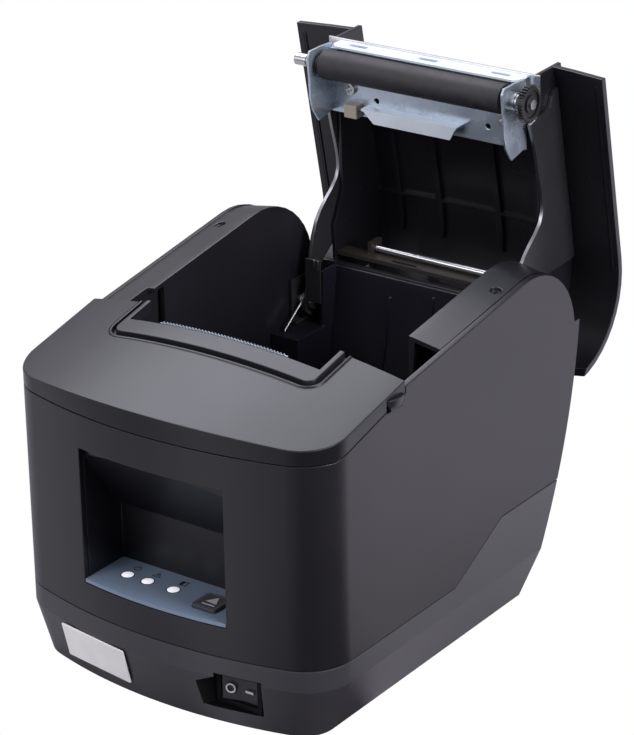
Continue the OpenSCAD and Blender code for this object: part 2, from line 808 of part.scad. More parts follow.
module switch_housing() {
    w = switch_w / 2;
    h = switch_h / 2;
    color("#17171a") difference() {
        union() {
            box([switch_x - w, switch_y + 0.4, switch_z - h], [switch_x + w, switch_y + 15, switch_z + h]);
            // bezel round the rocker, on the floor of the recess
            box([switch_x - w - 1, switch_y - 0.8, switch_z - h - 1],
                [switch_x + w + 1, switch_y - 0.05, switch_z + h + 1]);
        }
        box([switch_x - w + 1.2, switch_y - 2, switch_z - h + 1],
            [switch_x + w - 1.2, switch_y + 8, switch_z + h - 1]);
        // pivot holes of the rocker
        translate([switch_x, rocker_c.x, switch_z - h - 1])
            cylinder(h = switch_h + 2, d = 2.1, $fn = 32);
    }
}

module power_rocker() {
    w = switch_w / 2 - 1.2 - fit - 0.3;
    h = switch_h / 2 - 1 - fit;
    face = 4.1;
    color("#1d1d20") translate([switch_x, rocker_c.x, switch_z]) rotate([0, 0, rocker_tilt]) {
        difference() {
            translate([0, 0, -h]) linear_extrude(2 * h) polygon([[-w, -face + 0.6], [0, -face + 1.5],
                [w, -face + 0.6], [w * 0.72, 2.4], [-w * 0.72, 2.4]]);
            // the two marks, cut into the face
            translate([-w * 0.5, -face - 0.6, 0]) rotate([-90, 0, 0]) difference() {
                cylinder(h = 1.9, d = 4, $fn = 32);
                translate([0, 0, -1]) cylinder(h = 4, d = 2.8, $fn = 32);
            }
            box([w * 0.3, -face - 1, -0.4], [w * 0.75, -face + 1.25, 0.4]);
        }
        translate([0, 0, -switch_h / 2 + 0.2]) cylinder(h = switch_h - 0.4, d = 2, $fn = 32);
    }
}

// ================= hinge =================

module hinge_brackets() {
    x1 = inner_x - 0.4;
    color("#2a2a2c") both_sides() difference() {
        union() {
            // upright plate inside the cheek, on the bin's shoulder
            box([x1 - 1.2, hinge.x - 6, shoulder_z + 0.3], [x1, hinge.x + 5, hinge.y + 10]);
            // foot
            box([x1 - 3.2, hinge.x - 6, shoulder_z + 0.3], [x1, hinge.x + 5, shoulder_z + 1.5]);
        }
        bar_x(x1 - 3, x1 + 1, hinge, hinge_pin_d + 0.1);
    }
}

module hinge_pins() {
    color("#b8babd") both_sides() {
        bar_x(arm_x - 0.9, inner_x + wall, hinge, hinge_pin_d);
        bar_x(arm_x - 2.1, arm_x - 0.5, hinge, hinge_pin_d + 1.4);
    }
}

spring_wire = 0.9;

// Torsion springs on the hinge pins, each with one leg down to the bin's shoulder
module hinge_springs() {
    coil_d = hinge_pin_d + 2.2;
    color("#c4c6c9") both_sides() {
        difference() {
            bar_x(arm_x + arm_t + 0.35, arm_x + arm_t + 2.4, hinge, coil_d);
            bar_x(arm_x, arm_x + arm_t + 5, hinge, hinge_pin_d + 0.3);
        }
        translate([arm_x + arm_t + 0.9, hinge.x - coil_d / 2, hinge.y])
            rotate([32, 0, 0]) translate([0, 0, -10.4]) cylinder(h = 10.4, d = spring_wire, $fn = 16);
    }
}

// ================= print head =================

head_y = roller_c.x - platen_d / 2;         // line where head and roller touch
head_bracket_x = gear_x - 0.6;              // outer face of the head bracket's cheeks

module print_head() {
    color("#d8d2c0") box([-paper_w / 2 - 2, head_y - 1.4, roller_c.y - 8],
        [paper_w / 2 + 2, head_y - 0.4, roller_c.y + 4]);
}

module head_heatsink() {
    color("#9b9fa3") difference() {
        box([-paper_w / 2 - 3, head_y - 5.4, roller_c.y - 10],
            [paper_w / 2 + 3, head_y - 1.4, roller_c.y + 4]);
        for (k = [-6:6]) box([k * 6 - 1, head_y - 6, roller_c.y - 11],
            [k * 6 + 1, head_y - 3.4, roller_c.y + 1]);
    }
}

module head_springs() {
    color("#c4c6c9") for (x = [-24, 0, 24])
        translate([x, head_y - 8.9, roller_c.y - 4]) rotate([-90, 0, 0]) difference() {
            cylinder(h = 3.5, d = 5, $fn = 32);
            translate([0, 0, -1]) cylinder(h = 6, d = 3.6, $fn = 32);
        }
}

module head_bracket() {
    x1 = head_bracket_x;
    color("#a9afb6") difference() {
        union() {
            box([-x1, head_y - 10, roller_c.y - 40], [x1, head_y - 8.9, roller_c.y + 5]);
            both_sides() box([x1 - 1.2, head_y - 10, roller_c.y - 40], [x1, head_y + 12, roller_c.y - 9.5]);
            both_sides() box([x1 - 9, head_y - 10, base_z + floor_t + 0.15], [x1, head_y - 2, roller_c.y - 39]);
        }
        bar_x(0, hw, idler_c, 3);
        bar_x(20, hw, pinion_c, 8);
        // room for the motor
        bar_x(motor_x - 18, motor_x + 1.1, pinion_c, motor_d + 1.5, 72);
        box([motor_x - 0.4, pinion_c.x - motor_d / 2 - 6, pinion_c.y - 11],
            [motor_x + 1.1, pinion_c.x + motor_d / 2 + 6, pinion_c.y + 11]);
    }
}

// ================= release latch =================

latch_c = [tab_y - 0.6, 100];               // pivot of the release latch
latch_bar = latch_c + [-12, -2];
latch_x = inner_x + 1.3;                    // outer face of its side plates

// Cross bar that links two side plates, each with a hook and a half-round finger tab
module release_latch() {
    tab_top = tab_z + 4.3;
    color("#3c3c42") {
        bar_x(-latch_x + 1, latch_x - 1, latch_bar, 4);
        both_sides() {
            difference() {
                union() {
                    bar_x(latch_x - 1.6, latch_x, latch_c, 8);
                    bar_x(latch_x - 1.6, latch_x, latch_bar, 5.6);
                    along_x(latch_x - 1.6, latch_x) union() {
                        polygon([latch_c + [0, 3.8], latch_bar + [0, 2.6], latch_bar + [0, -2.6],
                            latch_c + [0, -3.8]]);
                        polygon([latch_c + [2, -3], roller_c + [-3.4, 0], roller_c + [-3.4, 4],
                            roller_c + [-6, 5.5], latch_c + [-2, 3]]);
                        polygon([latch_c + [-3.6, 1], latch_c + [3.6, 1], [tab_y + 4, tab_z],
                            [tab_y + 4, tab_z + tab_t], [tab_y - 4, tab_z + tab_t]]);
                    }
                }
                bar_x(latch_x - 2, latch_x + 1, latch_c, 3.1);
            }
            // arm out to the tab
            box([latch_x - 0.2, tab_y - 4, tab_z], [hw + 0.8, tab_y + 4, tab_z + tab_t]);
            // half-round tab, flat on its top
            intersection() {
                translate([hw - tab_l * 0.5, tab_y, tab_z - 0.2]) cylinder(h = 8, d = 1.31 * tab_l, $fn = 96);
                translate([hw - tab_l * 0.5, tab_y, tab_top]) sphere(d = 1.34 * tab_l, $fn = 64);
                box([hw + seam, tab_y - tab_l, tab_z - 1], [hw + 10, tab_y + tab_l, tab_top]);
            }
        }
    }
}

module latch_pivots() {
    color("#b8babd") both_sides() bar_x(latch_x - 2.4, hw - wall, latch_c, 3);
}

// ================= drive =================

motor_d = 24;
motor_x = head_bracket_x - 1.2 - 0.3 - 0.8; // back of the motor's mounting flange

module stepper_motor() {
    color("#8c9095") {
        bar_x(motor_x - 16, motor_x, pinion_c, motor_d);
        // mounting flange
        difference() {
            hull() {
                bar_x(motor_x, motor_x + 0.8, pinion_c + [-motor_d / 2 - 2, 0], 7);
                bar_x(motor_x, motor_x + 0.8, pinion_c + [motor_d / 2 + 2, 0], 7);
                bar_x(motor_x, motor_x + 0.8, pinion_c, 20);
            }
            for (s = [-1, 1]) bar_x(motor_x - 1, motor_x + 2, pinion_c + [s * (motor_d / 2 + 2), 0], 3.2);
        }
        bar_x(motor_x, gear_x + gear_w + 0.3, pinion_c, 1.96);
    }
}

module motor_pinion() {
    color("#c8b06a") translate([gear_x, pinion_c.x, pinion_c.y]) rotate([90, 0, 90])
        linear_extrude(gear_w) difference() {
            gear_outline(pinion_teeth, mesh_turn);
            circle(d = 2.06, $fn = 32);
        }
}

// Turn of the pinion, in tooth pitches, that sets a gap of it against a tooth of the idler
mesh_angle = atan2(pinion_c.y - idler_c.y, pinion_c.x - idler_c.x);
idler_phase = mesh_angle / (360 / idler_teeth);
mesh_turn = (mesh_angle + 180) / (360 / pinion_teeth) + 0.5;

module idler_post() {
    color("#b8babd") bar_x(head_bracket_x - 1.2, gear_x + gear_w + 0.5, idler_c, 2.96);
}

module idler_gear() {
    color("#e4e2da") translate([gear_x, idler_c.x, idler_c.y]) rotate([90, 0, 90])
        linear_extrude(gear_w) difference() {
            gear_outline(idler_teeth, idler_phase);
            circle(d = 3.06, $fn = 32);
        }
}

// ================= cutter =================

cut_z = 117.6;                              // plane of the moving blade
cut_travel = 9;

module cutter_frame() {
    x1 = exit_hw + 6;
    color("#a9afb6") difference() {
        box([-x1, plate_y - 40, cut_z - 2.6], [x1, plate_y - 16, cut_z - 0.4]);
        for (x = [-20, 20]) box([x - 8, plate_y - 36, cut_z - 4], [x + 8, plate_y - 22, cut_z + 1]);
    }
}

// Thin guillotine blade with a shallow V edge
module cutter_blade() {
    x1 = exit_hw + 2;
    color("#d4d6d9") translate([0, 0, cut_z]) linear_extrude(0.8)
        polygon([[-x1, plate_y - 36], [x1, plate_y - 36], [x1, plate_y - 11], [0, plate_y - 14],
            [-x1, plate_y - 11]]);
}

module cutter_motor() {
    color("#9fa4a9") difference() {
        bar_x(-12, 14, [plate_y - 38, cut_z - 14], 20);
        bar_x(10, 20, [plate_y - 38, cut_z - 14], 6);
    }
    color("#9fa4a9") along_x(-6, 6) polygon([[plate_y - 42, cut_z - 6], [plate_y - 34, cut_z - 6],
        [plate_y - 34, cut_z - 2.9], [plate_y - 42, cut_z - 2.9]]);
}

// ================= cover, drawn closed =================

lip_sweep_r = sqrt(pow(hinge_in, 2) + pow(hinge_down, 2)) + 0.6;  // clears the rear lip

// All within the cover's edges: its front edge and the sweep past the rear lip
module cover_bounds() {
    difference() {
        union() {
            box([-hw, panel_front_y, lip_z - 8], [hw, rear_y + 20, 190]);
        }
        bar_x(-hw - 1, hw + 1, hinge, 2 * lip_sweep_r, 120);
    }
}

// Solid of the cover's top between two heights over the cheeks
module cover_skin(low, high) {
    difference() {
        crown(high);
        crown(low);
        box([-hw - 1, front_y - 60, 0], [hw + 1, panel_front_y, 200]);
        box([-hw - 1, front_y - 60, 0], [hw + 1, rear_y + 40, lip_z + cover_gap + 1.5]);
    }
}

rib_h = 2;
rib_w = 3;
cross_rib_y = rear_y - 47.6;
boss_at = [bracket_x - 9.8, roller_c.x + 12];   // screws of the platen bracket

module cover_shell() {
    low = cover_gap;
    high = cover_gap + cover_t;
    color("#28282c") swung() difference() {
        union() {
            // wings and rear curve
            intersection() {
                cover_skin(low, high);
                cover_bounds();
            }
            // raised middle panel with its steps
            intersection() {
                cover_skin(low + panel_rise, high + panel_rise);
                cover_bounds();
                box([-panel_hw, panel_front_y, lip_z], [panel_hw, rear_y + 20, 190]);
            }
            // inner walls beside the middle panel
            intersection() {
                both_sides() along_x(panel_hw - wall_t, panel_hw) polygon([[panel_front_y, 120.2],
                    [rear_y - 56, 120.2], [rear_y - 42, 113.2], [rear_y - 16, 113.2],
                    [rear_y - 16, 190], [panel_front_y, 190]]);
                crown(high + panel_rise - 0.01);
                cover_bounds();
            }
            // screw bosses of the platen bracket
            intersection() {
                both_sides() translate([boss_at.x, boss_at.y, back_z + sheet_t + 0.15])
                    cylinder(h = 60, d = 6.4, $fn = 48);
                crown(low + panel_rise + 0.5);
            }
        }
        // middle panel is hollow between its steps
        intersection() {
            difference() {
                crown(low + panel_rise);
                crown(low - 1);
                both_sides() translate([boss_at.x, boss_at.y, 100]) cylinder(h = 80, d = 6.4, $fn = 48);
            }
            box([-panel_hw + wall_t, panel_front_y - 1, lip_z - 5], [panel_hw - wall_t, rear_y + 20, 190]);
        }
        both_sides() translate([boss_at.x, boss_at.y, back_z]) cylinder(h = 10, d = 2.6, $fn = 24);
        // cut-out at the front of the middle panel
        box([-panel_hw + wall_t, panel_front_y - 1, lip_z - 5], [panel_hw - wall_t, notch_y, 190]);
    }
    color("#28282c") swung() cover_ribs(low);
}

// Ribs under the middle panel, and a low lip along the outer edge of each wing
module cover_ribs(low) {
    intersection() {
        union() {
            for (x = [-19, 10]) box([x, notch_y + 14, lip_z], [x + rib_w, rear_y - 30, 190]);
            both_sides() box([boss_at.x - 1, notch_y + 14, lip_z], [boss_at.x + 1, rear_y - 30, 190]);
            box([wall_t / 2 - panel_hw, cross_rib_y, lip_z], [panel_hw - wall_t / 2, cross_rib_y + 1.4, 190]);
        }
        difference() {
            crown(low + panel_rise + 0.1);
            crown(low + panel_rise - rib_h);
        }
    }
    intersection() {
        both_sides() box([hw - 3.8, panel_front_y + 4, lip_z], [hw - 2.7, rear_y - 36, 190]);
        difference() {
            crown(low + 0.1);
            crown(low - 0.3);
        }
    }
}

// Side view of a hinge arm: S-shaped lower edge from the platen bracket to the hinge
module arm_section() {
    front = [[7, 150], [7.9, 135.6], [9.5, 129.7], [11.2, 127.9], [15, 126.7], [16.1, 122.9],
        [17.1, 115.4], [18.2, 111.7]];
    edge = [[-16, 115.4], [-6, 117.5], [3, 119.8], [8, 120.6], [12, 120.6], [16, 119],
        [19.5, 115.6], [22.5, 111.4], [26, 107.2], [30, 103.8], [36, 100.8], [45, 98.4],
        [54, 96.6]];
    shift = [rear_y - 76.8, lip_z - 112.6];
    difference() {
        union() {
            polygon(concat([for (p = front) p + [plate_y, 0]], [for (p = edge) p + shift],
                [hinge + [0, -3.9], hinge + [3, -3.9], hinge + [5.5, -1.5], hinge + [5.5, 5.5],
                hinge + [-13, 6.5], hinge + [-24, 22], hinge + [-24, 60]]));
            translate(hinge) circle(r = 3.9, $fn = 48);
        }
        translate(hinge) circle(d = hinge_pin_d + 0.1, $fn = 48);
    }
}

module cover_arms() {
    color("#1f1f21") swung() intersection() {
        both_sides() along_x(arm_x, arm_x + arm_t) arm_section();
        union() {
            crown(cover_gap - 0.3);
            box([-hw, hinge.x - 12, 80], [hw, rear_y, lip_z + 1]);
            box([-hw, front_y, 90], [hw, hinge.x, lip_z + 8]);
        }
    }
}

rod_c = [rear_y - 32.6, 120.5];
guide_x = panel_hw - wall_t - fit;
rod_hw = paper_w / 2 - 8.8;

module guide_rod() {
    color("#d2d4d6") swung() bar_x(-rod_hw, rod_hw, rod_c, 3);
}

// Strip with a slot behind the rod, and the two lugs that hold the rod
module paper_guide() {
    color("#4d4640") swung() difference() {
        union() {
            box([-guide_x, rod_c.x + 1.8, 113.6], [guide_x, rod_c.x + 3.6, 120.4]);
            both_sides() box([rod_hw, rod_c.x - 3, 117.6], [rod_hw + 2.2, rod_c.x + 3.6, 125]);
        }
        box([-20, rod_c.x - 1, 115], [-8, rod_c.x + 5, 117]);
    }
}

// ================= platen assembly =================

back_z = roller_c.y + 8.4;                  // sheet above the roller (cover closed)

channel_y = roller_c.x + 17.4;              // folded channel behind the roller

module platen_bracket() {
    ear = [[-6.6, -6.2], [-4.6, -7.7], [-0.6, -7.5], [5.4, -7.1], [13.4, -6.9], [18.4, -5.4],
        [24, -1.7], [22, 8.8], [-6.1, 8.8], [-6.6, 1.3]];
    color("#a8b4c2") swung() difference() {
        union() {
            both_sides() along_x(bracket_x - sheet_t, bracket_x)
                polygon([for (p = ear) p + roller_c]);
            // web over the roller
            box([-bracket_x + 0.1, roller_c.x - 4.7, back_z], [bracket_x - 0.1, channel_y + 5.6, back_z + sheet_t]);
            // folded channel
            box([-paper_w / 2 + 12, channel_y, back_z - 5.5], [paper_w / 2 - 22.5, channel_y + sheet_t, back_z + 0.1]);
            translate([0, channel_y, back_z - 5.5]) linear_extrude(sheet_t) polygon([
                [-paper_w / 2 + 12, 0], [paper_w / 2 - 22.5, 0], [paper_w / 2 - 25.5, 5.6],
                [-paper_w / 2 + 18, 5.6]]);
            // tabs bent out beside the roller
            both_sides() box([bracket_x - 5, roller_c.x - 4.7, back_z - 2],
                [bracket_x, roller_c.x - 3.7, back_z + sheet_t]);
        }
        bar_x(-60, 60, roller_c, bushing_d - 1 + 0.02);
        for (p = [[-24, 15.3], [28.9, 16.4]])
            translate([p.x, roller_c.x + p.y, back_z - 1]) cylinder(h = 4, d = 2.6, $fn = 24);
        both_sides() translate([boss_at.x, boss_at.y, back_z - 1]) cylinder(h = 4, d = 2.7, $fn = 24);
    }
}

module bracket_screws() {
    color("#c9ccd0") swung() both_sides() translate([boss_at.x, boss_at.y, back_z - 1.55])
        difference() {
            union() {
                cylinder(h = 1.5, d = 5, $fn = 32);
                cylinder(h = 8, d = 2.5, $fn = 24);
            }
            for (a = [0, 90]) rotate(a) translate([-1.5, -0.3, -1]) cube([3, 0.6, 1.8]);
        }
}

module cover_switch_block() {
    color("#b7a98c") swung() difference() {
        box([-bracket_x + 9, channel_y, back_z - 4.2], [-bracket_x + 15, channel_y + 5.6, back_z - 0.05]);
        bar_x(-hw, 0, [channel_y + 3, back_z - 2.2], 1.6);
    }
}

module blade_holder() {
    y0 = plate_y + 0.9;
    color("#c3ccd5") swung() difference() {
        union() {
            box([-bracket_x + 2, y0, 111.5], [bracket_x - 2, y0 + 1, 119]);
            box([-bracket_x + 2, y0, back_z + 1.1], [bracket_x - 2, roller_c.x + 5, back_z + 2.1]);
        }
        for (x = [-paper_w / 2 + 6.3, 0, paper_w / 2 - 6.3])
            box([x - 4.7, y0 - 1, 114.6], [x + 4.7, y0 + 3, 117]);
        // rounded lower corners
        for (s = [-1, 1]) translate([s * (bracket_x - 2), 0, 111.5]) rotate([0, 45, 0])
            cube([3.4, 400, 3.4], center = true);
    }
}

module counter_blade() {
    y0 = plate_y + 0.9;
    color("#e2e4e6") swung()
        box([-panel_hw - 1.7, y0 - 0.7, 119.02], [panel_hw + 1.7, y0 + 8, 119.9]);
}

module platen_bushes() {
    color("#b5bac0") swung() both_sides() difference() {
        union() {
            bar_x(bracket_x - sheet_t - 0.2, bracket_x + 2.8, roller_c, bushing_d - 1);
            bar_x(bracket_x, bracket_x + 2, roller_c, bushing_d);
        }
        bar_x(0, 60, roller_c, shaft_d + 0.1);
    }
}

module platen_shaft() {
    color("#d2d4d6") swung() {
        bar_x(-gear_x - gear_w - 2, gear_x + gear_w + 1, roller_c, shaft_d);
        bar_x(-gear_x - gear_w - 2, -gear_x + 1, roller_c, bushing_d - 2);
    }
}

module platen_roller() {
    color("#35373b") swung() difference() {
        union() {
            bar_x(-roller_hw, roller_hw, roller_c, platen_d, 72);
            bar_x(-roller_hw - 1.6, roller_hw + 1.6, roller_c, platen_d - 4, 48);
        }
        bar_x(-60, 60, roller_c, shaft_d);
    }
}

module platen_gear() {
    color("#1c1c1e") swung() translate([gear_x, roller_c.x, roller_c.y]) rotate([90, 0, 90])
        difference() {
            linear_extrude(gear_w) gear_outline(platen_teeth);
            translate([0, 0, -1]) cylinder(h = gear_w + 2, d = shaft_d + 0.08, $fn = 32);
            translate([0, 0, gear_w - 0.8]) difference() {
                cylinder(h = 2, r = gear_module * platen_teeth / 2 - 1.6, $fn = 48);
                cylinder(h = 2, d = shaft_d + 3, $fn = 32);
            }
        }
}

base_case();
rubber_feet();
base_screws();
name_plate();
upper_case();
cheek_screws();
window_frame();
indicator_panel();
indicator_lenses();
panel_board();
feed_button();
top_plate();
tear_blade();
paper_bin();
paper_sensor();
main_board();
power_jack();
interface_port();
drawer_port();
switch_housing();
power_rocker();
hinge_brackets();
hinge_pins();
hinge_springs();
head_bracket();
head_heatsink();
print_head();
head_springs();
release_latch();
latch_pivots();
stepper_motor();
motor_pinion();
idler_post();
idler_gear();
cutter_frame();
cutter_blade();
cutter_motor();
cover_shell();
cover_arms();
guide_rod();
paper_guide();
platen_bracket();
bracket_screws();
cover_switch_block();
blade_holder();
counter_blade();
platen_bushes();
platen_shaft();
platen_roller();
platen_gear();
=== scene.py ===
"""Receipt printer with its cover swung open: finishes and fine details round its fixed frame."""

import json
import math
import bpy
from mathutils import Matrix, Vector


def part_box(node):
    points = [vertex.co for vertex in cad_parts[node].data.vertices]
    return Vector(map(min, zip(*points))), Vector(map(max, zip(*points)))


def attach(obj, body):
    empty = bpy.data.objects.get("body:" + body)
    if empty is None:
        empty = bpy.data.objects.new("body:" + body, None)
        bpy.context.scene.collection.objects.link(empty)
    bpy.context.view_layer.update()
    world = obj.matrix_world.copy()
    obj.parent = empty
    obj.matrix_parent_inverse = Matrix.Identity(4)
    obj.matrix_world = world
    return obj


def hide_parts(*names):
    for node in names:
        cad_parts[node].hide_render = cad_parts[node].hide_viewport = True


bl_info = {
    "name": "Receipt Printer",
    "version": (1, 0, 0),
    "blender": (4, 5, 0),
    "location": "View3D > Sidebar > Receipt Printer",
    "description": "Builds the casings, cover, platen, controls and finishes of a receipt printer",
    "category": "Object",
}

import bmesh
import bpy
from mathutils import Matrix, Vector

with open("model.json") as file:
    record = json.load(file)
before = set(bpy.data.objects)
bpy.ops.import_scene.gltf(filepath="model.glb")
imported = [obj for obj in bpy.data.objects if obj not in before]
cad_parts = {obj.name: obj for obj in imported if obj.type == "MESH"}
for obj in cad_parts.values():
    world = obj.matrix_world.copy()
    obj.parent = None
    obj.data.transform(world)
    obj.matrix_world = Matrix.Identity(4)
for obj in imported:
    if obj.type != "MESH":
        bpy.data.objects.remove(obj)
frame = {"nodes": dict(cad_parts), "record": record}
NODES = frame["nodes"]
BODIES = {n: b for b, ns in frame["record"]["behaviour"]["bodies"].items() for n in ns}
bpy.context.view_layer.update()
MM = 0.001

BASE_FOLD_Z = 22.7 * MM                        # height at which the base starts to taper
FOLD_REACH = 0.06 * MM                         # a point this near to it lies on the fold
LENS_X = (-20.3 * MM, -10.7 * MM, 1.5 * MM)    # places of the three lenses across the key panel
SMOOTH_ANGLE = math.radians(35)                # a sharper edge than this stays hard in the shading


# ---------------------------------------------------------------- sizes and colours

def tint(name, text, value):
    """A colour a user can change."""
    return bpy.props.FloatVectorProperty(
        name=name, description=text, subtype="COLOR", size=3, min=0.0, max=1.0, default=value)


def length(name, text, value, low, high):
    """A length a user can change, in metres."""
    return bpy.props.FloatProperty(
        name=name, description=text, unit="LENGTH", precision=5, min=low, max=high, default=value)


class PrinterColours(bpy.types.PropertyGroup):
    """Colours of the mouldings, metals and marks."""

    case: tint("Case", "Side walls and front", (0.0110, 0.0104, 0.0135))
    base: tint("Base", "Lower case", (0.0400, 0.0390, 0.0450))
    plate: tint("Top plate", "Sloping plate in front of the paper exit", (0.0130, 0.0132, 0.0172))
    cover: tint("Cover", "Swinging cover, inside and out", (0.0105, 0.0100, 0.0125))
    bin: tint("Paper bin", "Tub that holds the roll", (0.0110, 0.0104, 0.0165))
    # black moulding, painted darker than the case as painted shade inside the window
    recess: tint("Recess", "Liner of the display window", (0.0060, 0.0058, 0.0080))
    panel: tint("Key panel", "Blue-grey panel with the lenses and the key", (0.190, 0.255, 0.345))
    print_ink: tint("Print", "Marks printed on the key panel", (0.012, 0.014, 0.018))
    rubber: tint("Roller", "Rubber of the platen roller", (0.018, 0.019, 0.022))
    plated: tint("Plated sheet", "Zinc-plated brackets", (0.56, 0.65, 0.74))
    bright: tint("Bright steel", "Polished rod, edges and blades", (0.62, 0.62, 0.62))


class PrinterSizes(bpy.types.PropertyGroup):
    """Edge radii and the sizes of small details."""

    case_edge: length("Case edge", "Radius on the edges of the cases", 0.45 * MM, 0.0, 2 * MM)
    small_edge: length("Small edge", "Radius on the edges of small pieces", 0.2 * MM, 0.0, 1 * MM)
    sheet_edge: length("Sheet edge", "Radius on the edges of sheet metal", 0.12 * MM, 0.0, 1 * MM)
    icon: length("Icon", "Width of the marks on the key panel", 3.4 * MM, 1 * MM, 8 * MM)
    stroke: length("Stroke", "Line width of the marks", 0.42 * MM, 0.1 * MM, 1 * MM)
    spring_wire: length("Spring wire", "Wire of the hinge springs", 0.75 * MM, 0.3 * MM, 1.5 * MM)


class PrinterStudio(bpy.types.PropertyGroup):
    """Camera and lamps."""

    camera_at: bpy.props.FloatVectorProperty(
        name="Camera place", description="Where the camera stands", subtype="TRANSLATION",
        size=3, default=(0.6078, -0.8374, 0.5390))
    azimuth: bpy.props.FloatProperty(
        name="Azimuth", description="Turn of the camera round the printer", unit="ROTATION",
        default=math.radians(36.12))
    elevation: bpy.props.FloatProperty(
        name="Elevation", description="Height of the camera above the horizon", unit="ROTATION",
        default=math.radians(23.0))
    roll: bpy.props.FloatProperty(
        name="Roll", description="Tilt of the camera about its own axis", unit="ROTATION",
        default=math.radians(-0.92))
    lens: bpy.props.FloatProperty(
        name="Lens", description="Focal length in millimetres", min=20.0, max=400.0, default=141.4)
    lamp: bpy.props.FloatProperty(
        name="Lamps", description="Power of the main softbox in watts", min=0.0, default=17.0)


def colours():
    return bpy.context.scene.printer_colours


def sizes():
    return bpy.context.scene.printer_sizes


def studio():
    return bpy.context.scene.printer_studio


# ---------------------------------------------------------------- finishes

NOISE_LOW, NOISE_HIGH = 0.3, 0.7    # span that the noise keeps to


def blank_finish(name):
    """A new node material, with its nodes, links and main shader."""
    finish = bpy.data.materials.new(name)
    finish.use_nodes = True
    tree = finish.node_tree
    return finish, tree.nodes, tree.links, tree.nodes["Principled BSDF"]


def object_noise(nodes, links, scale, detail, stretch=(1.0, 1.0, 1.0)):
    """Noise that is fixed to the piece; scale counts waves in a metre."""
    place = nodes.new("ShaderNodeTexCoord")
    mapping = nodes.new("ShaderNodeMapping")
    mapping.inputs["Scale"].default_value = stretch
    noise = nodes.new("ShaderNodeTexNoise")
    noise.inputs["Scale"].default_value = scale
    noise.inputs["Detail"].default_value = detail
    links.new(place.outputs["Object"], mapping.inputs["Vector"])
    links.new(mapping.outputs["Vector"], noise.inputs["Vector"])
    return noise


def varied(nodes, links, noise, low, high, socket):
    """Drives a number socket between two values by the noise."""
    span = nodes.new("ShaderNodeMapRange")
    span.inputs["From Min"].default_value = NOISE_LOW
    span.inputs["From Max"].default_value = NOISE_HIGH
    span.inputs["To Min"].default_value = low
    span.inputs["To Max"].default_value = high
    links.new(noise.outputs["Fac"], span.inputs["Value"])
    links.new(span.outputs["Result"], socket)


def shaded(nodes, links, noise, colour, spread, socket):
    """Drives a colour socket a little lighter and darker than a colour."""
    ramp = nodes.new("ShaderNodeValToRGB")
    dark, light = ramp.color_ramp.elements
    dark.position, light.position = NOISE_LOW, NOISE_HIGH
    dark.color = [c * (1 - spread) for c in colour] + [1]
    light.color = [min(1.0, c * (1 + spread)) for c in colour] + [1]
    links.new(noise.outputs["Fac"], ramp.inputs["Fac"])
    links.new(ramp.outputs["Color"], socket)


def bumped(nodes, links, noise, shader, depth):
    """Raises the surface by the noise, to a depth in metres."""
    bump = nodes.new("ShaderNodeBump")
    bump.inputs["Distance"].default_value = depth
    links.new(noise.outputs["Fac"], bump.inputs["Height"])
    links.new(bump.outputs["Normal"], shader.inputs["Normal"])


def moulded(name, colour, rough, grain=1500.0, depth=0.03 * MM, spread=0.06, specular=0.5):
    """Moulded plastic with a fine spark-eroded grain and slight clouds in its sheen."""
    finish, nodes, links, shader = blank_finish(name)
    clouds = object_noise(nodes, links, 22.0, 3.0)
    fine = object_noise(nodes, links, grain, 1.0)
    shaded(nodes, links, clouds, colour, spread, shader.inputs["Base Color"])
    varied(nodes, links, clouds, rough[0], rough[1], shader.inputs["Roughness"])
    bumped(nodes, links, fine, shader, depth)
    shader.inputs["Specular IOR Level"].default_value = specular
    return finish


def sheet_metal(name, colour, rough, stretch=(0.12, 1.0, 1.0), depth=0.001 * MM, metal=1.0,
                grain=2200.0):
    """Metal with a slightly uneven sheen; the stretch draws its grain out into lines along X."""
    finish, nodes, links, shader = blank_finish(name)
    lines = object_noise(nodes, links, grain, 1.0, stretch)
    clouds = object_noise(nodes, links, 60.0, 3.0)
    shaded(nodes, links, clouds, colour, 0.07, shader.inputs["Base Color"])
    varied(nodes, links, lines, rough[0], rough[1], shader.inputs["Roughness"])
    bumped(nodes, links, lines, shader, depth)
    shader.inputs["Metallic"].default_value = metal
    return finish


def rubbery(name, colour):
    """Ground rubber: dull and mottled, with a fine tooth."""
    finish, nodes, links, shader = blank_finish(name)
    clouds = object_noise(nodes, links, 260.0, 5.0)
    fine = object_noise(nodes, links, 2200.0, 2.0)
    shaded(nodes, links, clouds, colour, 0.55, shader.inputs["Base Color"])
    varied(nodes, links, clouds, 0.50, 0.68, shader.inputs["Roughness"])
    bumped(nodes, links, fine, shader, 0.04 * MM)
    return finish


def with_painted_glow(finish, strength):
    """Adds a weak painted glow of the finish's own, though no lamp lights it."""
    shader = finish.node_tree.nodes["Principled BSDF"]
    shader.inputs["Emission Color"].default_value = (0.92, 0.93, 1.0, 1)
    shader.inputs["Emission Strength"].default_value = strength
    return finish


FINISHES = {}
EVEN = (1, 1, 1)    # grain that runs alike in every direction


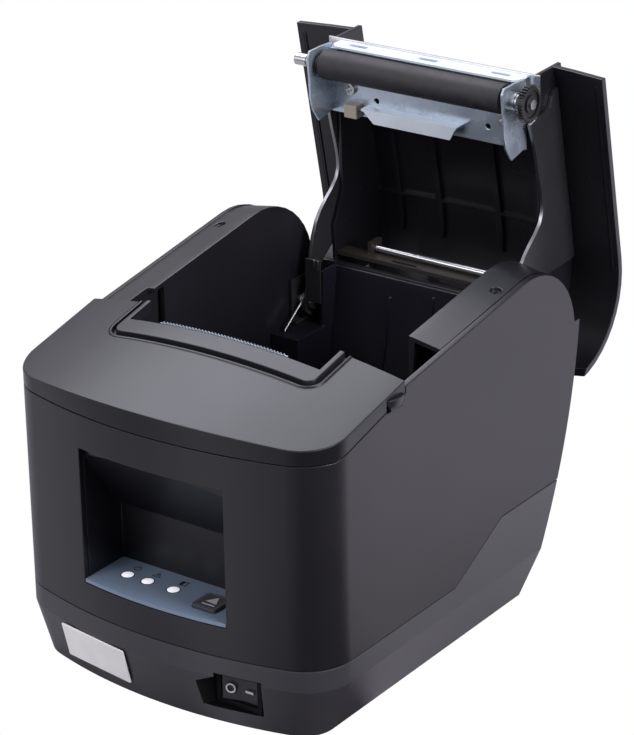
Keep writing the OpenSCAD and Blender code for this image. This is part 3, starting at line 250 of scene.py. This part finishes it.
def make_finishes():
    """All finishes, by the names that the pieces use."""
    c = colours()
    fine, soft = 0.01 * MM, 0.02 * MM
    smooth = {"stretch": EVEN, "depth": 0.0, "grain": 160.0}
    FINISHES.update(
        case=moulded("Charcoal Case", c.case, (0.30, 0.36), depth=soft),
        base=moulded("Charcoal Base", c.base, (0.34, 0.40), depth=soft),
        plate=moulded("Top Plate Grey", c.plate, (0.31, 0.36), 1300.0, soft, specular=0.42),
        # the plate's upright border: its own lower roughness, and a darker colour as painted shade
        skirt=moulded("Top Plate Skirt Painted Shade", c.cover, (0.22, 0.28), 1300.0, fine, specular=0.4),
        cover=moulded("Cover Black", c.cover, (0.22, 0.32), 900.0, 0.012 * MM),
        bin=moulded("Bin Black", c.bin, (0.24, 0.34), 900.0, 0.012 * MM),
        # black of the window liner, darkened with painted shade
        recess=moulded("Recess Black With Painted Shade", c.recess, (0.30, 0.38), 1400.0, soft),
        # painted shade: a darker, duller copy of the base moulding, for the switch recess and the
        # switch body in it
        shadow=moulded("Recess Painted Shade", (0.004, 0.004, 0.005), (0.45, 0.55), depth=fine, specular=0.12),
        panel=moulded("Key Panel Blue", c.panel, (0.38, 0.46), 2200.0, 0.015 * MM, 0.05),
        key=moulded("Key Black", (0.016, 0.017, 0.020), (0.28, 0.36), depth=0.015 * MM),
        feed=moulded("Feed Key", (0.055, 0.058, 0.068), (0.30, 0.38), depth=fine),
        ink=moulded("Panel Print", c.print_ink, (0.42, 0.50), 2600.0, fine, 0.12),
        grey_ink=moulded("Key Line", (0.20, 0.21, 0.23), (0.40, 0.50), 2600.0, fine),
        white_ink=moulded("White Marks", (0.56, 0.56, 0.58), (0.45, 0.55), 2600.0, fine),
        # the white lenses get a painted glow, as if lit
        lens=with_painted_glow(moulded("White Lens", (0.86, 0.87, 0.92), (0.10, 0.16),
                             depth=0.004 * MM, spread=0.02), 0.55),
        board=moulded("Circuit Board", (0.02, 0.09, 0.045), (0.30, 0.38), depth=soft, spread=0.12),
        acetal=moulded("White Acetal", (0.62, 0.61, 0.57), (0.38, 0.46)),
        gear=moulded("Gear Black", (0.014, 0.014, 0.015), (0.30, 0.38)),
        guide=moulded("Guide Strip", (0.030, 0.026, 0.022), (0.30, 0.40)),
        beige=moulded("Beige Block", (0.42, 0.38, 0.30), (0.40, 0.50)),
        ceramic=moulded("Head Ceramic", (0.66, 0.62, 0.52), (0.12, 0.2)),
        rubber=rubbery("Platen Rubber", c.rubber),
        foot=rubbery("Foot Rubber", (0.018, 0.018, 0.018)),
        blank=sheet_metal("Blank Plate", (0.90, 0.89, 0.87), (0.34, 0.40), (0.05, 1, 1), metal=0.0),
        plated=sheet_metal("Plated Sheet", c.plated, (0.22, 0.30), metal=0.8, **smooth),
        # painted highlight: a lighter copy of the plated sheet, for plated faces that catch the light
        lit_plated=sheet_metal("Plated Sheet Painted Highlight", (0.80, 0.88, 0.96), (0.26, 0.27), metal=0.15,
                               **smooth),
        sheared=sheet_metal("Sheared Edge", (0.34, 0.34, 0.35), (0.30, 0.38), stretch=EVEN),
        bright=sheet_metal("Bright Steel", c.bright, (0.20, 0.24), **smooth),
        steel=sheet_metal("Steel", (0.50, 0.50, 0.51), (0.28, 0.38)),
        black_steel=sheet_metal("Black Steel", (0.022, 0.022, 0.024), (0.26, 0.36), stretch=EVEN,
                                depth=fine, metal=0.0),
        aluminium=sheet_metal("Cast Aluminium", (0.46, 0.47, 0.49), (0.40, 0.52), stretch=EVEN,
                              depth=0.03 * MM),
        brass=sheet_metal("Brass", (0.60, 0.43, 0.19), (0.25, 0.35)),
    )


# ---------------------------------------------------------------- modelling helpers

def select_only(*pieces):
    """Leaves only these selected, with the first one active."""
    bpy.ops.object.select_all(action="DESELECT")
    for piece in pieces:
        piece.select_set(True)
    bpy.context.view_layer.objects.active = pieces[0]


def settle(piece):
    """Moves a piece's place into its mesh."""
    select_only(piece)
    bpy.ops.object.transform_apply(location=True, rotation=True, scale=True)


def give(piece, finish):
    """Leaves a piece with this finish alone."""
    piece.data.materials.clear()
    piece.data.materials.append(FINISHES[finish])


def paint_faces(piece, finish, wanted):
    """Gives a further finish to the faces that a test picks by their middle and direction."""
    piece.data.materials.append(FINISHES[finish])
    slot = len(piece.data.materials) - 1
    for face in piece.data.polygons:
        if wanted(face.center, face.normal):
            face.material_index = slot


def along_fold(ends, fold_z):
    """Whether both ends of an edge lie at the height of a fold."""
    return all(abs(v.co.z - fold_z) < FOLD_REACH for v in ends)


def weigh_edges(piece, angle, fold_z):
    """Marks the edges to round: all the sharp ones, apart from those along a shallow fold."""
    mesh = bmesh.new()
    mesh.from_mesh(piece.data)
    weight = mesh.edges.layers.float.new("bevel_weight_edge")
    for edge in mesh.edges:
        if (len(edge.link_faces) == 2 and edge.calc_face_angle() > math.radians(angle)
                and not along_fold(edge.verts, fold_z)):
            edge[weight] = 1.0
    mesh.to_mesh(piece.data)
    mesh.free()


def crease_fold(piece, fold_z):
    """Keeps the shading above a shallow fold apart from that below it."""
    mesh = piece.data
    for edge in mesh.edges:
        if along_fold([mesh.vertices[i] for i in edge.vertices], fold_z):
            edge.use_edge_sharp = True


def round_edges(piece, radius, angle=32.0, segments=2, fold_z=None):
    """Rounds the sharp edges of a piece and shades it smooth between them."""
    select_only(piece)
    if radius > 0:
        if fold_z is not None:
            weigh_edges(piece, angle, fold_z)
        bevel = piece.modifiers.new("edge radius", "BEVEL")
        bevel.width = radius
        bevel.segments = segments
        bevel.limit_method = "ANGLE" if fold_z is None else "WEIGHT"
        bevel.angle_limit = math.radians(angle)
        bevel.use_clamp_overlap = False
        bpy.ops.object.modifier_apply(modifier=bevel.name)
    bpy.ops.object.shade_smooth_by_angle(angle=SMOOTH_ANGLE)
    if fold_z is not None:
        crease_fold(piece, fold_z)
    # large faces keep their own direction, so only the rounded edges shade across
    even = piece.modifiers.new("even shading", "WEIGHTED_NORMAL")
    even.keep_sharp = True
    bpy.ops.object.modifier_apply(modifier=even.name)


def merged_copy(node, name):
    """A copy of a CAD node with its loose triangles joined."""
    weld, sliver, level = 0.012 * MM, 0.02 * MM, math.radians(0.3)
    piece = NODES[node].copy()
    piece.data = NODES[node].data.copy()
    for key in list(piece.keys()):
        del piece[key]
    piece.parent = None
    piece.name = piece.data.name = name
    bpy.context.scene.collection.objects.link(piece)
    select_only(piece)
    bpy.ops.object.mode_set(mode="EDIT")
    bpy.ops.mesh.select_all(action="SELECT")
    bpy.ops.mesh.customdata_custom_splitnormals_clear()
    bpy.ops.mesh.remove_doubles(threshold=weld)
    bpy.ops.mesh.dissolve_degenerate(threshold=sliver)
    bpy.ops.mesh.dissolve_limited(angle_limit=level)
    bpy.ops.object.mode_set(mode="OBJECT")
    return piece


def dress(node, name, finish, radius, angle=32.0, segments=2, fold_z=None):
    """A softened copy that stands for a CAD node."""
    piece = merged_copy(node, name)
    round_edges(piece, radius, angle, segments, fold_z)
    give(piece, finish)
    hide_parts(node)
    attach(piece, BODIES[node])
    return piece


def shaped(size, place, turn=(0.0, 0.0, 0.0)):
    """Sizes a fresh primitive in edit mode, then turns and places it, with its origin left at zero."""
    piece = bpy.context.object
    bpy.ops.object.mode_set(mode="EDIT")
    bpy.ops.mesh.select_all(action="SELECT")
    bpy.ops.transform.resize(value=size)
    bpy.ops.object.mode_set(mode="OBJECT")
    piece.rotation_euler = turn
    piece.location = place
    settle(piece)
    return piece


def block(size, place, turn=(0.0, 0.0, 0.0)):
    """A box about a place."""
    bpy.ops.mesh.primitive_cube_add(size=1.0)
    return shaped(size, place, turn)


def ring(radius, wire, place, flat, turn=(0.0, 0.0, 0.0)):
    """A ring of wire, pressed flat to a share of its height."""
    bpy.ops.mesh.primitive_torus_add(major_radius=radius, minor_radius=wire / 2,
                                     major_segments=40, minor_segments=10)
    return shaped((1, 1, flat), place, turn)


def rod(start, end, width):
    """A round wire between two points."""
    along = end - start
    bpy.ops.mesh.primitive_cylinder_add(vertices=16, radius=width / 2, depth=along.length)
    turn = along.to_track_quat("Z", "Y").to_euler()
    return shaped((1, 1, 1), (start + end) / 2, turn)


def joined(name, pieces):
    """One named piece out of several."""
    select_only(*pieces)
    bpy.ops.object.join()
    whole = bpy.context.object
    whole.name = whole.data.name = name
    bpy.ops.object.shade_smooth_by_angle(angle=SMOOTH_ANGLE)
    return whole


def stroke(start, end, width, height, z):
    """A straight printed line on a level face; its ends run on a little, so corners close."""
    dx, dy = end[0] - start[0], end[1] - start[1]
    return block((math.hypot(dx, dy) + width * 0.5, width, height),
                 ((start[0] + end[0]) / 2, (start[1] + end[1]) / 2, z), (0, 0, math.atan2(dy, dx)))


def outline_marks(corners, width, height, z):
    """Printed lines round a closed shape."""
    return [stroke(a, b, width, height, z) for a, b in zip(corners, corners[1:] + corners[:1])]


def rectangle(x, y, half_wide, half_high):
    """The corners of a rectangle about a point."""
    return [(x - half_wide, y - half_high), (x + half_wide, y - half_high),
            (x + half_wide, y + half_high), (x - half_wide, y + half_high)]


def joint_place(name):
    """Where a hinge turns, in metres."""
    joints = frame["record"]["behaviour"]["joints"]
    return Vector(next(j for j in joints if j["name"] == name)["pos_m"])


class PrinterOperator:
    """What the operators share."""

    bl_options = {"REGISTER", "UNDO"}


# ---------------------------------------------------------------- pieces

class PRINTER_OT_cases(PrinterOperator, bpy.types.Operator):
    """Softens the moulded cases and the paper bin."""

    bl_idname = "printer.cases"
    bl_label = "Cases"

    def execute(self, context):
        edge, small = sizes().case_edge, sizes().small_edge
        self.switch_recess(dress("base_case", "base_moulding", "base", edge, fold_z=BASE_FOLD_Z))
        self.window_jambs(dress("upper_case", "upper_moulding", "case", edge))
        self.plate_border(dress("top_plate", "top_plate_moulding", "plate", edge))
        dress("paper_bin", "bin_moulding", "bin", edge)
        # the liner takes the recess finish: black darkened with painted shade
        dress("window_frame", "window_liner", "recess", edge)
        dress("release_latch", "latch_moulding", "plate", small)
        dress("name_plate", "blank_plate", "blank", small)
        return {"FINISHED"}

    def switch_recess(self, base):
        """The tapered recess round the power switch gets painted shade: its inner faces are painted
        darker than the front that it lies in.
        """
        switch = joint_place("power_rocker_tilt")
        half_wide, half_high, front, back = 17 * MM, 11 * MM, -12 * MM, 4 * MM
        straight_ahead = -0.93

        def in_recess(place, facing):
            c = place - switch
            return (abs(c.x) < half_wide and abs(c.z) < half_high and front < c.y < back
                    and facing.y > straight_ahead)

        # painted shade on the recess's inner faces; faces looking straight ahead keep the base finish
        paint_faces(base, "shadow", in_recess)

    def window_jambs(self, upper):
        """The window's jambs and head get painted shade in the liner's darkened finish; its sill, which
        looks up into the light, keeps the case finish.
        """
        low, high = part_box("window_frame")
        sill, top, front = 45 * MM, 101 * MM, -90 * MM

        def on_jamb(place, facing):
            return (low.x < place.x < high.x and sill < place.z < top and place.y < front
                    and abs(facing.y) < 0.5 and facing.z <= 0.5)

        # painted shade on the jambs and head; upward-looking faces are left out
        paint_faces(upper, "recess", on_jamb)

    def plate_border(self, plate):
        """The plate's upright border is glossier than its top, and is painted darker than it as painted
        shade, since it faces away from the top light.
        """
        border_top, border_back, upright = 124 * MM, -70 * MM, 0.3

        def on_border(place, facing):
            return abs(facing.z) < upright and place.y < border_back and place.z < border_top

        # painted shade on the upright faces of the border
        paint_faces(plate, "skirt", on_border)


class PRINTER_OT_cover(PrinterOperator, bpy.types.Operator):
    """Softens the swinging cover and its steel arms."""

    bl_idname = "printer.cover"
    bl_label = "Cover"

    def execute(self, context):
        sheet = sizes().sheet_edge
        dress("cover_shell", "cover_moulding", "cover", sizes().case_edge * 0.8)
        self.bright_edges(dress("cover_arms", "hinge_arm_plates", "black_steel", sheet))
        self.arm_flanges()
        dress("paper_guide", "guide_strip", "guide", sizes().small_edge)
        dress("guide_rod", "polished_rod", "bright", sheet)
        return {"FINISHED"}

    def bright_edges(self, arms):
        """The sheared front edge of each arm is bright from its foot up to the platen bracket."""
        foot_z, bracket_z = 100 * MM, 196 * MM

        def on_edge(place, facing):
            return abs(facing.x) < 0.5 and facing.y < -0.2 and foot_z < place.z < bracket_z

        paint_faces(arms, "sheared", on_edge)

    def arm_flanges(self):
        """The turned-in foot of each arm just above its pin, with two bright tabs on top."""
        pin = joint_place("cover_hinge")
        low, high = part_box("cover_arms")
        inner = high.x - 1.5 * MM                        # inner side of the right-hand arm
        thick, wide = 0.8 * MM, 7.6 * MM
        foot, top = pin.z + 1.8 * MM, pin.z + 20.5 * MM  # heights of the flange's two ends
        tab_wide, tab_high, tab_drop = 0.8 * MM, 4.6 * MM, 2.0 * MM
        plates, tabs = [], []
        for side in (-1, 1):
            plates.append(block((wide, thick, top - foot),
                                (side * (inner - wide / 2), low.y + thick / 2, (top + foot) / 2)))
            for step in (0.8 * MM, 2.6 * MM):
                tabs.append(block((tab_wide, thick * 1.5, tab_high),
                                  (side * (inner - wide + step), low.y, top - tab_drop)))
        for name, pieces, finish in (("arm_flanges", plates, "black_steel"),
                                     ("arm_flange_tabs", tabs, "sheared")):
            whole = joined(name, pieces)
            round_edges(whole, sizes().sheet_edge)
            give(whole, finish)
            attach(whole, "cover")


class PRINTER_OT_platen(PrinterOperator, bpy.types.Operator):
    """Softens the platen roller, its bracket and the counter blade."""

    bl_idname = "printer.platen"
    bl_label = "Platen"

    def execute(self, context):
        sheet = sizes().sheet_edge
        self.paint_channel_highlight(dress("platen_bracket", "bracket_sheet", "plated", sheet))
        # the holder's plated sheet is given the painted highlight copy
        dress("blade_holder", "holder_sheet", "lit_plated", sheet)
        dress("counter_blade", "ground_blade", "bright", sheet)
        dress("cover_switch_block", "switch_block", "beige", sizes().small_edge)
        dress("bracket_screws", "bracket_screw_heads", "bright", sheet)
        dress("platen_bushes", "shaft_bushes", "steel", sheet)
        dress("platen_shaft", "roller_shaft", "bright", sheet)
        dress("platen_roller", "roller_rubber", "rubber", sizes().small_edge * 1.5)
        dress("platen_gear", "roller_gear", "gear", 0.0)
        return {"FINISHED"}

    def paint_channel_highlight(self, bracket):
        """The folded channel below the roller gets a painted highlight: its upward and forward faces
        take the lighter copy of the plated finish.
        """
        roller = joint_place("platen_spin")
        top, half_wide, fold_back = -12 * MM, 33 * MM, 6 * MM

        def on_channel(place, facing):
            c = place - roller
            in_front = facing.y < -0.5 and c.y < fold_back
            return c.z < top and abs(c.x) < half_wide and (facing.z > 0.2 or in_front)

        # painted highlight on the channel's upward and forward faces
        paint_faces(bracket, "lit_plated", on_channel)


class PRINTER_OT_controls(PrinterOperator, bpy.types.Operator):
    """Softens the key panel, the key, the lenses and the power switch."""

    bl_idname = "printer.controls"
    bl_label = "Controls"

    def execute(self, context):
        small = sizes().small_edge
        dress("indicator_panel", "key_panel", "panel", small * 0.5)
        dress("indicator_lenses", "lens_domes", "lens", 0.0)
        dress("feed_button", "feed_key", "feed", small * 1.5, angle=30.0, segments=3)
        # the switch body takes the painted shade finish of its recess
        dress("switch_housing", "switch_body", "shadow", small)
        dress("power_rocker", "switch_rocker", "key", small)
        self.panel_marks()
        self.key_marks()
        self.rocker_marks()
        return {"FINISHED"}

    def panel_marks(self):
        """A dark ring round each lens, and a sign beyond each: power, attention, paper."""
        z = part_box("indicator_panel")[1].z
        low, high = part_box("indicator_lenses")
        lens_r, lens_y = (high.y - low.y) / 2, (high.y + low.y) / 2
        wide, line, thick = sizes().icon, sizes().stroke, 0.03 * MM
        power_x, warning_x, paper_x = LENS_X[0] + 0.1 * MM, LENS_X[1] + 0.2 * MM, LENS_X[2] + 0.4 * MM
        y = lens_y + lens_r + 3.6 * MM
        marks = [ring(lens_r + 0.2 * MM, 0.5 * MM, (x, lens_y, z), 0.2) for x in LENS_X]
        # power: an open ring with a bar
        marks.append(ring(wide * 0.42, line, (power_x, y, z), 0.1))
        marks.append(stroke((power_x, y + wide * 0.1), (power_x, y + wide * 0.62), line, thick, z))
        # attention: a triangle with a bar
        triangle = [(warning_x - wide * 0.48, y - wide * 0.38),
                    (warning_x + wide * 0.48, y - wide * 0.38), (warning_x, y + wide * 0.45)]
        marks += outline_marks(triangle, line, thick, z)
        marks.append(stroke((warning_x, y - wide * 0.12), (warning_x, y + wide * 0.14), line, thick, z))
        # paper: a sheet with a dark half
        marks += outline_marks(rectangle(paper_x, y, wide * 0.4, wide * 0.42), line, thick, z)
        marks.append(block((wide * 0.36, wide * 0.8, thick), (paper_x - wide * 0.2, y, z)))
        signs = joined("panel_marks", marks)
        give(signs, "ink")
        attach(signs, "body")

    def key_marks(self):
        """A light arrow with a bar on the key, and a fine line round its face."""
        low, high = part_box("feed_button")
        x, y, z = (low.x + high.x) / 2, (low.y + high.y) / 2, high.z
        half, thick = (high.x - low.x) / 2, 0.04 * MM
        bpy.ops.mesh.primitive_cylinder_add(vertices=3, radius=half * 0.56, depth=thick)
        arrow = shaped((1, 1, 1), (x + half * 0.1, y + half * 0.1, z), (0, 0, math.radians(-6)))
        bar = stroke((x - half * 0.4, y - half * 0.5), (x + half * 0.6, y - half * 0.5),
                     half * 0.14, thick, z)
        edge = half - 0.9 * MM
        outline = outline_marks(rectangle(x, y, edge, edge), 0.22 * MM, 0.03 * MM, z)
        for name, pieces, finish in (("key_arrow", [arrow, bar], "white_ink"),
                                     ("key_outline", outline, "grey_ink")):
            whole = joined(name, pieces)
            give(whole, finish)
            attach(whole, "feed_button")

    def rocker_marks(self):
        """The ring and the bar, in white, in the rocker's two halves."""
        pivot = joint_place("power_rocker_tilt")
        tilt = math.radians(8.0)                          # how far the rocker leans at rest
        half, dip = 7.75 * MM, 0.9 * MM                   # half its length, and the dip at its middle
        slope = math.atan2(dip, half)
        ring_r, ring_line, ring_y = 1.7 * MM, 0.62 * MM, -3.98 * MM
        bar_thick, bar_high, bar_y = 0.3 * MM, 0.8 * MM, -3.99 * MM
        turned = Matrix.Translation(pivot) @ Matrix.Rotation(tilt, 4, "Z")
        zero = ring(ring_r, ring_line, turned @ Vector((-half * 0.5, ring_y, 0)), 0.5,
                    (math.pi / 2, 0, tilt + slope))
        bar = block((half * 0.45, bar_thick, bar_high), turned @ Vector((half * 0.525, bar_y, 0)),
                    (0, 0, tilt - slope))
        marks = joined("rocker_marks", [zero, bar])
        give(marks, "white_ink")
        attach(marks, "power_rocker")


class PRINTER_OT_insides(PrinterOperator, bpy.types.Operator):
    """Finishes on the hidden works and the small hardware."""

    bl_idname = "printer.insides"
    bl_label = "Insides"

    def execute(self, context):
        sheet = sizes().sheet_edge
        dress("hinge_brackets", "hinge_bracket_sheet", "black_steel", sheet)
        dress("tear_blade", "toothed_blade", "plated", 0.0)
        self.hinge_springs()
        dress("cheek_screws", "cheek_screw_heads", "black_steel", sheet)
        for node, finish in {
            "rubber_feet": "foot", "base_screws": "steel", "panel_board": "board",
            "paper_sensor": "key", "main_board": "board", "power_jack": "key",
            "interface_port": "plated", "drawer_port": "key", "hinge_pins": "steel",
            "head_bracket": "plated", "head_heatsink": "aluminium",
            "print_head": "ceramic", "head_springs": "steel", "latch_pivots": "steel",
            "stepper_motor": "steel", "motor_pinion": "brass", "idler_post": "steel",
            "idler_gear": "acetal", "cutter_frame": "plated", "cutter_blade": "bright",
            "cutter_motor": "steel",
        }.items():
            give(NODES[node], finish)
        return {"FINISHED"}

    def hinge_springs(self):
        """Wound wire on each hinge pin, with one leg down to the bin's shoulder."""
        wire = sizes().spring_wire
        axis = joint_place("cover_hinge")
        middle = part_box("hinge_springs")[1].x - 1.1 * MM    # middle of the right-hand spring
        coil_half = 1.05 * MM
        leg_top, leg_foot = Vector((0, -2.6 * MM, 0.4 * MM)), Vector((0, -15 * MM, -8.7 * MM))
        pieces = []
        for x in (-middle, middle):
            place = Vector((x, axis.y, axis.z))
            pieces.append(self.coil(wire, 2 * coil_half, place - Vector((coil_half, 0, 0))))
            pieces.append(rod(place + leg_top, place + leg_foot, wire))
        whole = joined("hinge_spring_wire", pieces)
        give(whole, "steel")
        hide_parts("hinge_springs")
        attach(whole, "body")

    def coil(self, wire, reach, start):
        """Wire wound round the X axis, from a starting place."""
        radius, turns = 2.65 * MM, 2.6
        bpy.ops.mesh.primitive_circle_add(vertices=12, radius=wire / 2, rotation=(math.pi / 2, 0, 0))
        coil = bpy.context.object
        bpy.ops.object.transform_apply(rotation=True)
        bpy.ops.object.mode_set(mode="EDIT")
        bpy.ops.mesh.select_all(action="SELECT")
        bpy.ops.transform.translate(value=(0, 0, radius))
        bpy.ops.object.mode_set(mode="OBJECT")
        screw = coil.modifiers.new("winding", "SCREW")
        screw.axis, screw.angle, screw.screw_offset = "X", math.radians(360 * turns), reach
        screw.steps = screw.render_steps = 72
        screw.use_merge_vertices = False
        select_only(coil)
        bpy.ops.object.modifier_apply(modifier=screw.name)
        coil.location = start
        settle(coil)
        return coil


# ---------------------------------------------------------------- studio

def softbox(name, at, aim, size, watts, colour):
    """A rectangular area lamp at a place, facing another."""
    bpy.ops.object.light_add(type="AREA", location=at)
    lamp = bpy.context.object
    lamp.name = name
    lamp.data.shape = "RECTANGLE"
    lamp.data.size, lamp.data.size_y = size
    lamp.data.energy = watts
    lamp.data.color = colour
    lamp.rotation_mode = "QUATERNION"
    lamp.rotation_quaternion = (Vector(aim) - Vector(at)).to_track_quat("-Z", "Y")


def white_to_camera(nodes, links, shader, white, output):
    """The camera meets plain white, and all other light meets the shader."""
    mix = nodes.new("ShaderNodeMixShader")
    path = nodes.new("ShaderNodeLightPath")
    links.new(path.outputs["Is Camera Ray"], mix.inputs["Fac"])
    links.new(shader, mix.inputs[1])
    links.new(white, mix.inputs[2])
    links.new(mix.outputs["Shader"], output)


# Name, place, size, share of the main lamp's power and colour of each softbox
SOFTBOXES = (
    ("Top Softbox", (-0.75, 0.35, 1.3), (1.3, 1.0), 1.0, (0.90, 0.90, 1.0)),
    ("Right Softbox", (1.3, -0.1, 0.7), (0.6, 0.9), 1.25, (0.96, 0.93, 1.0)),
    ("Front Softbox", (-0.5, -1.3, 0.8), (0.8, 0.8), 0.45, (0.94, 0.93, 1.0)),
)
LAMP_AIM = (0, 0, 0.1)

# The table's brightness by direction, in degrees from +X, round the printer's right front corner:
# white behind and beside the printer, and dark before that corner
TABLE_SWEEP = ((-180, 0.45), (-155, 0.45), (-132, 0.25), (-112, 0.6), (-90, 0.25), (-60, 0.02),
               (20, 0.02), (42, 0.8), (72, 0.6), (180, 0.45))
TABLE_CORNER = (0.045, -0.075)
TABLE_TINT = (1.0, 0.99, 1.02)


class PRINTER_OT_studio(PrinterOperator, bpy.types.Operator):
    """Floor, backdrop, lamps and camera."""

    bl_idname = "printer.studio"
    bl_label = "Studio"

    def execute(self, context):
        self.table(context)
        self.backdrop(context)
        for name, at, size, share, colour in SOFTBOXES:
            softbox(name, at, LAMP_AIM, size, studio().lamp * share, colour)
        self.camera(context)
        context.scene.view_settings.view_transform = "Standard"
        return {"FINISHED"}

    def table(self, context):
        """A wide table that shows white, and throws back light by direction."""
        bpy.ops.object.select_all(action="DESELECT")
        bpy.ops.mesh.primitive_plane_add(size=6.0, location=(0, 0, 0))
        floor = context.object
        floor.name = "studio_floor"
        paint, nodes, links, shader = blank_finish("Studio Floor")
        shader.inputs["Roughness"].default_value = 0.8
        shader.inputs["Specular IOR Level"].default_value = 0.0
        place = nodes.new("ShaderNodeTexCoord")
        mapping = nodes.new("ShaderNodeMapping")
        mapping.inputs["Location"].default_value = (-TABLE_CORNER[0], -TABLE_CORNER[1], 0)
        sweep = nodes.new("ShaderNodeTexGradient")
        sweep.gradient_type = "RADIAL"
        ramp = nodes.new("ShaderNodeValToRGB")
        while len(ramp.color_ramp.elements) < len(TABLE_SWEEP):
            ramp.color_ramp.elements.new(0.5)
        for stop, (degrees, value) in zip(ramp.color_ramp.elements, TABLE_SWEEP):
            stop.position = degrees / 360 + 0.5
            stop.color = [value * t for t in TABLE_TINT] + [1]
        links.new(place.outputs["Object"], mapping.inputs["Vector"])
        links.new(mapping.outputs["Vector"], sweep.inputs["Vector"])
        links.new(sweep.outputs["Fac"], ramp.inputs["Fac"])
        links.new(ramp.outputs["Color"], shader.inputs["Base Color"])
        white = nodes.new("ShaderNodeEmission")
        white.inputs["Color"].default_value = (1, 1, 1, 1)
        white_to_camera(nodes, links, shader.outputs["BSDF"], white.outputs["Emission"],
                        nodes["Material Output"].inputs["Surface"])
        floor.data.materials.append(paint)

    def backdrop(self, context):
        """Soft cool light from all round, behind plain white."""
        world = bpy.data.worlds.new("Studio World")
        context.scene.world = world
        world.use_nodes = True
        nodes, links = world.node_tree.nodes, world.node_tree.links
        back = nodes["Background"]
        back.inputs["Color"].default_value = (0.96, 0.93, 1.0, 1)
        back.inputs["Strength"].default_value = 0.45
        white = nodes.new("ShaderNodeBackground")
        white.inputs["Color"].default_value = (1, 1, 1, 1)
        white_to_camera(nodes, links, back.outputs["Background"], white.outputs["Background"],
                        nodes["World Output"].inputs["Surface"])

    def camera(self, context):
        """A long lens from the printer's right front, a little above it."""
        s = studio()
        bpy.ops.object.camera_add(location=s.camera_at)
        camera = context.object
        camera.name = "Product Camera"
        a, e, r = s.azimuth, s.elevation, s.roll
        backward = Vector((math.sin(a) * math.cos(e), -math.cos(a) * math.cos(e), math.sin(e)))
        right = Vector((math.cos(a), math.sin(a), 0))
        up = backward.cross(right)
        right, up = (right * math.cos(r) + up * math.sin(r), up * math.cos(r) - right * math.sin(r))
        camera.rotation_mode = "QUATERNION"
        camera.rotation_quaternion = Matrix((right, up, backward)).transposed().to_quaternion()
        camera.data.lens = s.lens
        camera.data.sensor_width = 36.0
        camera.data.clip_start = 0.01
        context.scene.camera = camera


class PRINTER_PT_panel(bpy.types.Panel):
    """Lists the steps and the sizes in the sidebar."""

    bl_idname = "PRINTER_PT_panel"
    bl_label = "Receipt Printer"
    bl_space_type = "VIEW_3D"
    bl_region_type = "UI"
    bl_category = "Receipt Printer"

    def draw(self, context):
        for step in STEPS:
            self.layout.operator(step.bl_idname)
        for group in (colours(), sizes(), studio()):
            column = self.layout.column(align=True)
            for prop in group.bl_rna.properties:
                if not prop.is_readonly and prop.identifier != "name":
                    column.prop(group, prop.identifier)


STEPS = (PRINTER_OT_cases, PRINTER_OT_cover, PRINTER_OT_platen, PRINTER_OT_controls,
         PRINTER_OT_insides, PRINTER_OT_studio)
GROUPS = (("printer_colours", PrinterColours), ("printer_sizes", PrinterSizes),
          ("printer_studio", PrinterStudio))


def register():
    for name, group in GROUPS:
        bpy.utils.register_class(group)
        setattr(bpy.types.Scene, name, bpy.props.PointerProperty(type=group))
    for step in STEPS:
        bpy.utils.register_class(step)
    bpy.utils.register_class(PRINTER_PT_panel)


def unregister():
    bpy.utils.unregister_class(PRINTER_PT_panel)
    for step in reversed(STEPS):
        bpy.utils.unregister_class(step)
    for name, group in reversed(GROUPS):
        delattr(bpy.types.Scene, name)
        bpy.utils.unregister_class(group)


def main():
    """Builds everything in order."""
    register()
    make_finishes()
    for step in STEPS:
        group, name = step.bl_idname.split(".")
        getattr(getattr(bpy.ops, group), name)()


if __name__ == "__main__":
    main()
